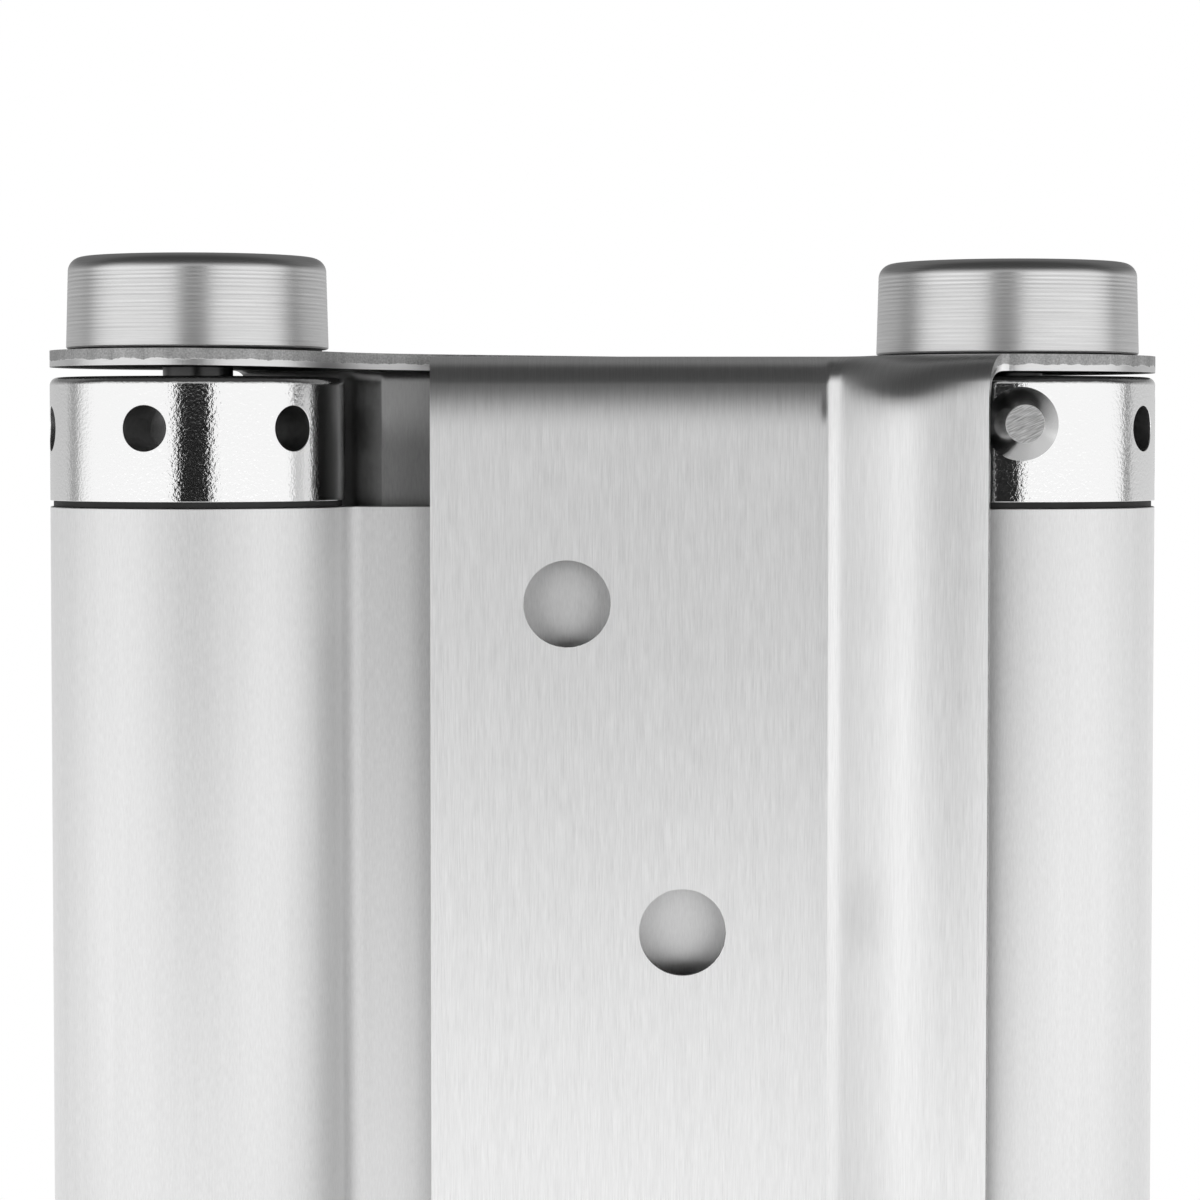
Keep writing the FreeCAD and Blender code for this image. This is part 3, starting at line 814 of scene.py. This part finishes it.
def cap_surfaces(sizes, seed):
    """A cap on the right spindle's upper end, its foot at height 0. The side is a straight taper
    less a groove for each turn of the tool, whose depths differ a little."""
    around = np.linspace(0, 2 * math.pi, 145)
    low = (sizes.radius, sizes.relief)
    high = (sizes.radius - sizes.taper, sizes.height)
    neck = sizes.radius - CAP_NECK
    foot, foot_way = rounding((neck, sizes.relief), low, high, sizes.foot)
    crown, crown_way = rounding(low, high, (0.0, sizes.height), sizes.crown, 12)
    grooves = int(round((crown[0, 1] - foot[-1, 1]) / sizes.feed))
    cut = np.linspace(0, grooves, grooves * 6 + 1)
    depth = np.random.default_rng(seed).uniform(SHALLOWEST, 1.0, grooves + 1)
    share = (cut / grooves)[:, None]
    side = foot[-1] + (crown[0] - foot[-1]) * share
    deepest = sizes.groove * depth[cut.astype(int)] * (FOOT_GROOVE + (1 - FOOT_GROOVE) * share[:, 0])
    side[:, 0] -= deepest * np.sin(math.pi * cut) ** 2
    step = unit(np.gradient(side, axis=0))
    corners = [
        (0.0, sizes.bore_depth),
        (sizes.bore, sizes.bore_depth),
        (sizes.bore, 0.0),
        (neck, 0.0),
        (neck, sizes.relief),
        foot[0],
    ]
    ways = [(0, -1), (-1, 0), (0, -1), (1, 0), (0, -1)]
    # The bore, underside and neck take the steel painted dark as shade under the cap
    made = [
        turned(AXIS, pair, around, np.array([way, way], float), 1)
        for pair, way in zip(zip(corners, corners[1:]), ways)
    ]
    made.append(turned(AXIS, foot, around, foot_way))
    made.append(turned(AXIS, side, around, joined(step[:, 1], -step[:, 0])))
    made.append(turned(AXIS, crown, around, crown_way))
    made.append(turned(AXIS, (crown[-1], (0.0, sizes.height)), around))
    return made


def pin_surfaces(sizes, collar, azimuth, height):
    """A pin in a collar's hole on the right barrel, turned about the hole's line: a shank, a
    conical head with a softened edge at its end, and a flat end."""
    around = np.linspace(0, 2 * math.pi, 97)
    seat = collar.radius + sizes.stand
    tip = seat + sizes.head
    base, end = (sizes.base / 2, seat), (sizes.end / 2, tip)
    edge, edge_way = rounding(base, end, (0.0, tip), PIN_EDGE, 4)
    corners = [
        (0.0, collar.radius - sizes.hold),
        (sizes.shank / 2, collar.radius - sizes.hold),
        (sizes.shank / 2, seat),
        base,
        edge[0],
    ]
    made = [turned((0.0, 0.0), pair, around) for pair in zip(corners, corners[1:])]
    made.append(turned((0.0, 0.0), edge, around, edge_way))
    made.append(turned((0.0, 0.0), (edge[-1], (0.0, tip)), around, None, 1))
    axes = axes_at(azimuth)
    middle = np.array([*AXIS, height])
    laid = []
    for p in made:
        flat = p.points @ axes
        laid.append(p._replace(points=middle + flat, normals=p.normals @ axes))
        if p.finish:
            laid[-1] = laid[-1]._replace(across=p.points[..., 0], along=p.points[..., 1])
    return laid


# Finishes


def linear(code):
    """A colour's linear values from its sRGB hex code."""
    channels = np.array([int(code[index : index + 2], 16) for index in (1, 3, 5)]) / 255
    bright = ((channels + 0.055) / 1.055) ** 2.4
    return (*np.where(channels <= 0.04045, channels / 12.92, bright).tolist(), 1.0)


def add(tree, kind, inputs=None, **settings):
    """Adds a shader node of a kind with its settings, and sets its inputs or links them, to an
    output or to a node's first output."""
    made = tree.nodes.new("ShaderNode" + kind)
    for name, value in settings.items():
        setattr(made, name, value)
    for name, value in (inputs or {}).items():
        if isinstance(value, bpy.types.Node):
            value = value.outputs[0]
        if isinstance(value, bpy.types.NodeSocket):
            tree.links.new(value, made.inputs[name])
        else:
            made.inputs[name].default_value = value
    return made


def fresh(name):
    """An empty node tree for a material of that name, which replaces an earlier one."""
    made = bpy.data.materials.get(name) or bpy.data.materials.new(name)
    made.use_nodes = True
    made.node_tree.nodes.clear()
    return made, made.node_tree


def grained(name, pale, dark, grain, streak, rough, spread):
    """A sheet with an upright grain: scratches of one width and length and broader streaks of
    another, which lighten, dull and roughen it, and which smear its reflections sideways."""
    made, tree = fresh(name)
    place = add(tree, "UVMap", uv_map="sheet").outputs["UV"]
    fine = add(tree, "Mapping", {"Vector": place, "Scale": (1 / grain[0], 1 / grain[1], 1)})
    hairs = add(tree, "TexNoise", {"Vector": fine, "Scale": 1, "Detail": 3, "Roughness": 0.7})
    broad = add(tree, "Mapping", {"Vector": place, "Scale": (1 / streak[0], 1 / streak[1], 1)})
    bands = add(tree, "TexNoise", {"Vector": broad, "Scale": 1, "Detail": 2})
    both = add(tree, "Math", {0: bands, 1: 0.25, 2: hairs}, operation="MULTIPLY_ADD")
    tone = add(tree, "MapRange", {"Value": both, "From Min": 0.38, "From Max": 0.87})
    colour = add(tree, "Mix", {"Factor": tone, 6: linear(dark), 7: linear(pale)}, data_type="RGBA")
    gloss = add(tree, "MapRange", {
        "Value": hairs, "From Min": 0.3, "From Max": 0.7, "To Min": rough - 0.04, "To Max": rough + 0.04,
    })
    bump = add(tree, "Bump", {"Height": hairs, "Strength": 0.4, "Distance": 0.004 * MM})
    tangent = add(tree, "Tangent", direction_type="UV_MAP", uv_map="sheet")
    shader = add(tree, "BsdfPrincipled", {
        "Base Color": colour.outputs[2], "Metallic": 1.0, "Roughness": gloss,
        "Anisotropic": spread, "Normal": bump, "Tangent": tangent,
    })
    add(tree, "OutputMaterial", {"Surface": shader})
    return made


def belt_brushed():
    """Stainless sheet, brushed upwards with a belt before it is folded: hair-fine scratches a few
    millimetres long, so it shines softly across its whole width."""
    name = "stainless sheet, belt brushed"
    return grained(name, "#FFFFFF", "#E8E8E8", (0.08 * MM, 2.2 * MM), (0.5 * MM, 12 * MM), 0.38, 0.85)


def satin_rolled():
    """Stainless sheet as it leaves the rolls: a close, short grain, smoother than brushing."""
    name = "stainless sheet, satin rolled"
    return grained(name, "#FAFAFA", "#E8E8E8", (0.09 * MM, 0.7 * MM), (0.6 * MM, 25 * MM), 0.42, 0.87)


def mill_finish_and_shade():
    """The sheet's inner face, never brushed: greyer, with the mill's dull even skin, and painted darker
    still as shade for the recesses between the leaves where it lies.
    """
    name = "stainless sheet, mill finish and painted shade"
    return grained(name, "#A0A0A0", "#8E8E8E", (0.12 * MM, 0.9 * MM), (0.8 * MM, 20 * MM), 0.42, 0.8)


def clouded(name, size, detail, dark, pale, rough, bump=None, **more):
    """Steel with cloudy patches of one size, between two tones and two roughnesses, which may also
    ripple it."""
    made, tree = fresh(name)
    place = add(tree, "TexCoord").outputs["Object"]
    cloud = add(tree, "TexNoise", {"Vector": place, "Scale": 1 / size, "Detail": detail})
    colour = add(tree, "Mix", {"Factor": cloud, 6: linear(dark), 7: linear(pale)}, data_type="RGBA")
    gloss = add(tree, "MapRange", {"Value": cloud, "To Min": rough[0], "To Max": rough[1]})
    inputs = {"Base Color": colour.outputs[2], "Metallic": 1.0, "Roughness": gloss, **more}
    if bump:
        inputs["Normal"] = add(tree, "Bump", {"Height": cloud, "Strength": bump[0], "Distance": bump[1]})
    shader = add(tree, "BsdfPrincipled", inputs)
    add(tree, "OutputMaterial", {"Surface": shader})
    return made


def shade_darkened_steel():
    """Faces that bear on each other or lie under and inside other parts, such as a flange over its collar:
    dull steel painted dark, as painted shade for where these faces lie out of the light."""
    return clouded("bearing steel, painted dark as shade", 3 * MM, 4, "#242424", "#4E4E4E", (0.6, 0.6), Metallic=0.6)


def drilled_steel():
    """The wall of a drilled hole that the plating hardly reaches: dull and dark."""
    return clouded("drilled steel, thinly plated", 0.5 * MM, 3, "#8A8A8A", "#BCBCBC", (0.4, 0.4))


def oiled_steel():
    """Plain steel under a film of oil: dark grey, with a soft even gloss and cloudy patches."""
    film = {"Coat Weight": 0.3, "Coat Roughness": 0.2}
    return clouded("plain steel, oiled", 1.5 * MM, 4, "#4A4A4A", "#777777", (0.25, 0.42), **film)


def blanked_edge():
    """The sheet's edge as the press cut it: a bright burnished land from the die's side, then a
    grey grainy torn zone, and a ragged line where one turns into the other."""
    made, tree = fresh("stainless sheet edge, blanked")
    place = add(tree, "UVMap", uv_map="sheet").outputs["UV"]
    parts = add(tree, "SeparateXYZ", {"Vector": place})
    tear = add(tree, "Mapping", {"Vector": place, "Scale": (1 / (1.1 * MM), 1 / (6 * MM), 1)})
    tears = add(tree, "TexNoise", {"Vector": tear, "Scale": 1, "Detail": 4, "Roughness": 0.55})
    grain = add(tree, "TexNoise", {"Vector": place, "Scale": 1 / (0.12 * MM), "Detail": 2})
    ragged = add(tree, "Math", {0: tears, 1: 0.55 * MM, 2: parts.outputs["Y"]}, operation="MULTIPLY_ADD")
    land = add(tree, "MapRange", {"Value": ragged, "From Min": 0.88 * MM, "From Max": 0.92 * MM})
    worn = add(tree, "Math", {0: tears, 1: grain}, operation="ADD")
    torn = add(tree, "MapRange", {"Value": worn, "From Min": 0.7, "From Max": 1.3})
    grey = add(tree, "Mix", {"Factor": torn, 6: linear("#9C9C9C"), 7: linear("#D2D2D2")}, data_type="RGBA")
    colour = add(tree, "Mix", {"Factor": land, 6: grey.outputs[2], 7: linear("#DCDCDC")}, data_type="RGBA")
    rough = add(tree, "MapRange", {"Value": land, "To Min": 0.62, "To Max": 0.3})
    depth = add(tree, "Math", {0: worn, 1: land}, operation="SUBTRACT")
    bump = add(tree, "Bump", {"Height": depth, "Strength": 0.5, "Distance": 0.02 * MM})
    shader = add(tree, "BsdfPrincipled", {
        "Base Color": colour.outputs[2], "Metallic": 1.0, "Roughness": rough, "Normal": bump,
    })
    add(tree, "OutputMaterial", {"Surface": shader})
    return made


def bright_chrome():
    """Steel turned smooth and chrome plated: a near mirror whose plate follows the metal's faint
    orange peel, so the borders of reflections crinkle."""
    made, tree = fresh("bright chrome plate on turned steel")
    place = add(tree, "TexCoord").outputs["Object"]
    peel = add(tree, "TexNoise", {"Vector": place, "Scale": 1 / (0.2 * MM), "Detail": 2, "Roughness": 0.6})
    wave = add(tree, "TexNoise", {"Vector": place, "Scale": 1 / (2.2 * MM), "Detail": 1})
    haze = add(tree, "MapRange", {"Value": wave, "To Min": 0.05, "To Max": 0.11})
    bump = add(tree, "Bump", {"Height": peel, "Strength": 0.65, "Distance": 0.022 * MM})
    shader = add(tree, "BsdfPrincipled", {
        "Base Color": linear("#F0F0F0"), "Metallic": 1.0, "Roughness": haze, "Normal": bump,
    })
    add(tree, "OutputMaterial", {"Surface": shader})
    return made


def streaked(name, dark, pale, slant, grain, noise, spread, rough, furrow):
    """Bar steel with scratches of one length and width at a slant, which lighten and furrow it."""
    made, tree = fresh(name)
    place = add(tree, "UVMap", uv_map="sheet").outputs["UV"]
    leaning = add(tree, "Mapping", {"Vector": place, "Rotation": (0, 0, slant)})
    along = add(tree, "Mapping", {"Vector": leaning, "Scale": (1 / grain[0], 1 / grain[1], 1)})
    lines = add(tree, "TexNoise", {"Vector": along, "Scale": 1, "Detail": 3, **noise})
    tone = add(tree, "MapRange", {"Value": lines, "From Min": 0.5 - spread, "From Max": 0.5 + spread})
    colour = add(tree, "Mix", {"Factor": tone, 6: linear(dark), 7: linear(pale)}, data_type="RGBA")
    bump = add(tree, "Bump", {"Height": lines, "Strength": furrow[0], "Distance": furrow[1]})
    shader = add(tree, "BsdfPrincipled", {
        "Base Color": colour.outputs[2], "Metallic": 1.0, "Roughness": rough, "Normal": bump,
    })
    add(tree, "OutputMaterial", {"Surface": shader})
    return made


def turned_stainless():
    """Stainless bar, turned and left as it came off the tool: soft upright bands crossed by hair
    lines round the cap."""
    grain, furrow = (6 * MM, 0.07 * MM), (0.3, 0.003 * MM)
    return streaked(
        "stainless bar, fine turned", "#D0D0D0", "#E6E6E6", 0.0, grain, {"Roughness": 0.6}, 0.2, 0.31, furrow
    )


def scratched_end():
    """The pin's end, sawn and filed: short slanting scratches, dull between them."""
    slant, grain, furrow = math.radians(-25), (0.8 * MM, 0.06 * MM), (0.8, 0.02 * MM)
    return streaked(
        "steel end, sawn and filed", "#9A9A9A", "#DEDEDE", slant, grain, {"Distortion": 0.3}, 0.15, 0.45,
        furrow,
    )


def polished_steel():
    """Steel turned and polished: bright, with the last faint turning lines left in it."""
    ripple = (0.2, 0.01 * MM)
    return clouded("turned steel, polished", 0.8 * MM, 2, "#C2C2C2", "#C2C2C2", (0.18, 0.28), ripple)


def black_cloth(low, high, fade):
    """The cloth round the camera: matt black with a faint weave, which chrome shows as a stripe.
    It is thin at its lower and upper edge, where it lets the light through."""
    made, tree = fresh("black cloth")
    place = add(tree, "TexCoord").outputs["Object"]
    weave = add(tree, "TexNoise", {"Vector": place, "Scale": 1 / (3 * MM), "Detail": 2})
    colour = add(tree, "Mix", {"Factor": weave, 6: linear("#1C1C1C"), 7: linear("#343434")}, data_type="RGBA")
    cloth = add(tree, "BsdfDiffuse", {"Color": colour.outputs[2]})
    clear = add(tree, "BsdfTransparent")
    height = add(tree, "SeparateXYZ", {"Vector": place})
    rising = add(tree, "MapRange", {
        "Value": height.outputs["Z"], "From Min": low, "From Max": low + fade[0],
    })
    falling = add(tree, "MapRange", {
        "Value": height.outputs["Z"], "From Min": high, "From Max": high - fade[1],
    })
    cover = add(tree, "Math", {0: rising, 1: falling}, operation="MULTIPLY")
    mixed = add(tree, "MixShader", {0: cover, 1: clear, 2: cloth})
    add(tree, "OutputMaterial", {"Surface": mixed})
    return made


def studio_paper(reach):
    """White background paper: matt near the hinge, where it takes the shadow. Further out the
    camera sees it as white as the background, and reflections see it brighter in front than
    behind."""
    made, tree = fresh("white background paper")
    place = add(tree, "TexCoord").outputs["Object"]
    out = add(tree, "VectorMath", {0: place, 1: (1.0, 1.0, 0.0)}, operation="MULTIPLY")
    far = add(tree, "VectorMath", {0: out}, operation="LENGTH")
    fade = add(tree, "MapRange", {
        "Value": far.outputs["Value"], "From Min": 0.2 * reach, "From Max": 0.36 * reach,
    })
    ray = add(tree, "LightPath").outputs
    seen = add(tree, "Math", {0: ray["Is Camera Ray"], 1: ray["Is Glossy Ray"]}, operation="MAXIMUM")
    seen = add(tree, "Math", {0: seen, 1: ray["Is Transmission Ray"]}, operation="MAXIMUM")
    white = add(tree, "Math", {0: seen, 1: fade}, operation="MULTIPLY")
    paper = add(tree, "BsdfDiffuse", {"Color": linear("#EFEFEF")})
    ahead = add(tree, "SeparateXYZ", {"Vector": place})
    lit = add(tree, "MapRange", {
        "Value": ahead.outputs["Y"], "From Min": -0.2 * reach, "From Max": 0.1 * reach,
        "To Min": 1.12, "To Max": 0.8,
    })
    level = add(tree, "Math", {0: lit, 1: ray["Is Camera Ray"]}, operation="MAXIMUM")
    glow = add(tree, "Emission", {"Color": linear("#FFFFFF"), "Strength": level})
    mixed = add(tree, "MixShader", {0: white, 1: paper, 2: glow})
    add(tree, "OutputMaterial", {"Surface": mixed})
    return made


def studio_light(ceiling):
    """A white studio: wide soft lights in front, brighter at their foot, with a dark edge on either
    side; greyer walls behind; and a dark ceiling that comes lower at the sides and is paler behind.
    The camera sees white."""
    world = bpy.data.worlds.new("white studio")
    world.use_nodes = True
    tree = world.node_tree
    tree.nodes.clear()
    way = add(tree, "SeparateXYZ", {"Vector": add(tree, "TexCoord").outputs["Generated"]})
    front = add(tree, "Math", {0: way.outputs["Y"], 1: -1.0}, operation="MULTIPLY")
    around = add(tree, "Math", {0: way.outputs["X"], 1: front}, operation="ARCTAN2")
    share = add(tree, "Math", {0: around, 1: 0.5 / math.pi, 2: 0.5}, operation="MULTIPLY_ADD")
    walls = add(tree, "ValToRGB", {"Fac": share})
    # Azimuth in degrees and brightness
    stops = [
        (-180, 0.8), (-113, 0.8), (-111, 0.5), (-104, 0.5), (-98, 1.05),
        (96, 1.05), (98, 0.38), (103, 0.38), (105, 0.9), (160, 0.9), (172, 0.8),
    ]
    elements = walls.color_ramp.elements
    elements.remove(elements[1])
    for index, (degrees, level) in enumerate(stops):
        stop = elements.new((degrees + 180) / 360) if index else elements[0]
        stop.color = (level, level, level, 1.0)
    rise = add(tree, "Math", {0: way.outputs["Z"]}, operation="ARCSINE")
    aside = add(tree, "Math", {0: around}, operation="ABSOLUTE")
    foot = add(tree, "MapRange", {
        "Value": aside, "From Min": math.radians(70), "From Max": math.radians(95),
        "To Min": 1.65, "To Max": 1.0,
    })
    lower = add(tree, "MapRange", {
        "Value": rise, "From Min": math.radians(-12), "From Max": math.radians(-4),
        "To Min": foot, "To Max": 1.0,
    })
    slope = add(tree, "MapRange", {
        "Value": aside, "From Min": math.radians(75), "From Max": math.radians(100),
        "To Min": 0.0, "To Max": math.radians(16),
    })
    height = add(tree, "Math", {0: rise, 1: slope}, operation="ADD")
    upper = add(tree, "MapRange", {
        "Value": height, "From Min": math.radians(8), "From Max": math.radians(34),
    })
    sides = add(tree, "VectorMath", {0: walls, "Scale": lower}, operation="SCALE")
    roof = add(tree, "MapRange", {
        "Value": way.outputs["Y"], "From Min": 0.12, "From Max": 0.5,
        "To Min": ceiling, "To Max": 3 * ceiling,
    })
    room = add(tree, "Mix", {"Factor": upper, 6: sides, 7: roof}, data_type="RGBA")
    camera = add(tree, "LightPath").outputs["Is Camera Ray"]
    seen = add(tree, "Mix", {"Factor": camera, 6: room.outputs[2], 7: linear("#FFFFFF")}, data_type="RGBA")
    shader = add(tree, "Background", {"Color": seen.outputs[2], "Strength": 1.0})
    add(tree, "OutputWorld", {"Surface": shader})
    bpy.context.scene.world = world


# Operators


class HINGE_OT_roll_barrels(bpy.types.Operator):
    """Rolls the sheet with both barrels and the web"""

    bl_idname = "hinge.roll_barrels"
    bl_label = "Roll Barrels"

    def execute(self, context):
        surfaces = barrel_surfaces(context.scene.hinge_barrel)
        stand_for("barrel_web", "rolled_barrels", surfaces, [satin_rolled(), blanked_edge()])
        return {"FINISHED"}


class HINGE_OT_fold_leaves(bpy.types.Operator):
    """Folds the front leaf and the back leaf"""

    bl_idname = "hinge.fold_leaves"
    bl_label = "Fold Leaves"

    def execute(self, context):
        sizes = context.scene.hinge_leaf
        finishes = [belt_brushed(), blanked_edge(), mill_finish_and_shade(), shade_darkened_steel()]
        surfaces = leaf_surfaces(sizes)
        askew = half_turned(drooped(surfaces, sizes.droop))
        for node, name, shapes in (
            ("front_leaf", "front_folded_leaf", surfaces),
            ("back_leaf", "back_folded_leaf", askew),
        ):
            low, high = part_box(node)
            stand_for(node, name, lifted(shapes, (low.z + high.z) / 2), finishes)
        return {"FINISHED"}


class HINGE_OT_turn_collars(bpy.types.Operator):
    """Turns the tension collars with their winding holes, and the anchor collars"""

    bl_idname = "hinge.turn_collars"
    bl_label = "Turn Collars"

    def execute(self, context):
        sizes = context.scene.hinge_collar
        finishes = [bright_chrome(), drilled_steel(), shade_darkened_steel()]
        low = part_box("right_tension_collar")[1].z - sizes.height
        for side, slack in (("right", 0.0), ("left", sizes.left_slack)):
            surfaces = collar_surfaces(sizes, low, sizes.first_hole + slack)
            name = side + "_chromed_tension_collar"
            stand_for(side + "_tension_collar", name, on_side(surfaces, side), finishes)
        fixed = upended(collar_surfaces(sizes, BARREL_HEIGHT / 2, None))
        for side in ("left", "right"):
            name = side + "_chromed_anchor_collar"
            stand_for(side + "_anchor_collar", name, on_side(fixed, side), finishes)
        return {"FINISHED"}


class HINGE_OT_turn_caps(bpy.types.Operator):
    """Turns the four button caps"""

    bl_idname = "hinge.turn_caps"
    bl_label = "Turn Caps"

    def execute(self, context):
        finishes = [turned_stainless(), shade_darkened_steel()]
        for seed, (side, end) in enumerate([(s, e) for s in ("left", "right") for e in ("top", "bottom")]):
            node = "%s_%s_cap" % (side, end)
            low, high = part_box(node)
            surfaces = cap_surfaces(context.scene.hinge_cap, seed)
            placed = lifted(surfaces, low.z) if end == "top" else lifted(upended(surfaces), high.z)
            stand_for(node, "%s_%s_turned_cap" % (side, end), on_side(placed, side), finishes)
        return {"FINISHED"}


class HINGE_OT_head_pins(bpy.types.Operator):
    """Makes the two tension pins"""

    bl_idname = "hinge.head_pins"
    bl_label = "Head Pins"

    def execute(self, context):
        collar = context.scene.hinge_collar
        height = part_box("right_tension_collar")[1].z - collar.hole_drop
        finishes = [polished_steel(), scratched_end()]
        for side, slack in (("right", 0.0), ("left", collar.left_slack)):
            surfaces = pin_surfaces(context.scene.hinge_pin, collar, collar.first_hole + slack, height)
            stand_for(side + "_tension_pin", side + "_headed_pin", on_side(surfaces, side), finishes)
        return {"FINISHED"}


class HINGE_OT_finish_steel(bpy.types.Operator):
    """Gives the spindles, springs, washers and rivets their finish"""

    bl_idname = "hinge.finish_steel"
    bl_label = "Finish Inner Steel"

    def execute(self, context):
        finishes = {"oiled_steel": oiled_steel(), "polished_pin": polished_steel()}
        for name, node in frame["nodes"].items():
            if not node.hide_render:
                node.data.materials.clear()
                node.data.materials.append(finishes[SLOT_OF[name]])
        return {"FINISHED"}


class HINGE_OT_set_stage(bpy.types.Operator):
    """Sets the floor, the light and the camera"""

    bl_idname = "hinge.set_stage"
    bl_label = "Set Stage"

    def execute(self, context):
        scene = context.scene
        sizes = scene.hinge_studio
        azimuths = np.linspace(0, 2 * math.pi, 97)[:-1]
        rim = raised(ring((0, 0), sizes.floor, azimuths), cad_low.z)
        mesh = bpy.data.meshes.new("floor")
        mesh.from_pydata(rim.tolist(), [], [list(range(len(rim)))])
        mesh.materials.append(studio_paper(sizes.floor))
        linked("floor", mesh)
        studio_light(sizes.ceiling)
        low, high = sizes.shade_low, sizes.shade_high
        corners = [(low[0], low[1]), (high[0], low[1]), (high[0], high[1]), (low[0], high[1])]
        card = bpy.data.meshes.new("camera shade")
        card.from_pydata([(x, -sizes.shade_away, z) for x, z in corners], [], [(0, 1, 2, 3)])
        card.materials.append(black_cloth(low[1], high[1], sizes.shade_fade))
        shade = linked("camera shade", card)
        shade.visible_camera = False
        lamp = bpy.data.lights.new("overhead light", "AREA")
        lamp.size = 0.6
        lamp.energy = 5.0
        overhead = linked("overhead light", lamp)
        overhead.location = (0.0, 0.0, 0.7)
        overhead.visible_glossy = False
        lens = bpy.data.cameras.new("camera")
        lens.sensor_width = 36.0
        lens.lens = lens.sensor_width / 2 / math.tan(sizes.view / 2)
        lens.clip_start = 0.01
        camera = linked("camera", lens)
        camera.location = sizes.camera
        camera.rotation_euler = (math.pi / 2 - sizes.tilt, 0.0, 0.0)
        scene.camera = camera
        scene.view_settings.view_transform = "Standard"
        return {"FINISHED"}


class HINGE_PT_sidebar(bpy.types.Panel):
    """Lists the hinge's pieces and sizes"""

    bl_idname = "HINGE_PT_sidebar"
    bl_label = "Cafe Hinge"
    bl_space_type = "VIEW_3D"
    bl_region_type = "UI"
    bl_category = "Hinge"

    def draw(self, context):
        for operator in OPERATORS:
            self.layout.operator(operator.bl_idname)
        for name in SIZE_GROUPS:
            group = getattr(context.scene, name)
            box = self.layout.box()
            for field in group.__annotations__:
                box.prop(group, field)


OPERATORS = (
    HINGE_OT_roll_barrels,
    HINGE_OT_fold_leaves,
    HINGE_OT_turn_collars,
    HINGE_OT_turn_caps,
    HINGE_OT_head_pins,
    HINGE_OT_finish_steel,
    HINGE_OT_set_stage,
)
SIZE_GROUPS = {
    "hinge_leaf": LeafSizes,
    "hinge_barrel": BarrelSizes,
    "hinge_collar": CollarSizes,
    "hinge_cap": CapSizes,
    "hinge_pin": PinSizes,
    "hinge_studio": StudioSizes,
}


def register():
    for group in (*SIZE_GROUPS.values(), *OPERATORS, HINGE_PT_sidebar):
        bpy.utils.register_class(group)
    for name, group in SIZE_GROUPS.items():
        setattr(bpy.types.Scene, name, PointerProperty(type=group))


def unregister():
    for name in SIZE_GROUPS:
        delattr(bpy.types.Scene, name)
    for group in (HINGE_PT_sidebar, *reversed(OPERATORS), *reversed(list(SIZE_GROUPS.values()))):
        bpy.utils.unregister_class(group)


def main():
    """Makes every piece and the stage."""
    register()
    bpy.ops.hinge.roll_barrels()
    bpy.ops.hinge.fold_leaves()
    bpy.ops.hinge.turn_collars()
    bpy.ops.hinge.turn_caps()
    bpy.ops.hinge.head_pins()
    bpy.ops.hinge.finish_steel()
    bpy.ops.hinge.set_stage()


if __name__ == "__main__":
    main()
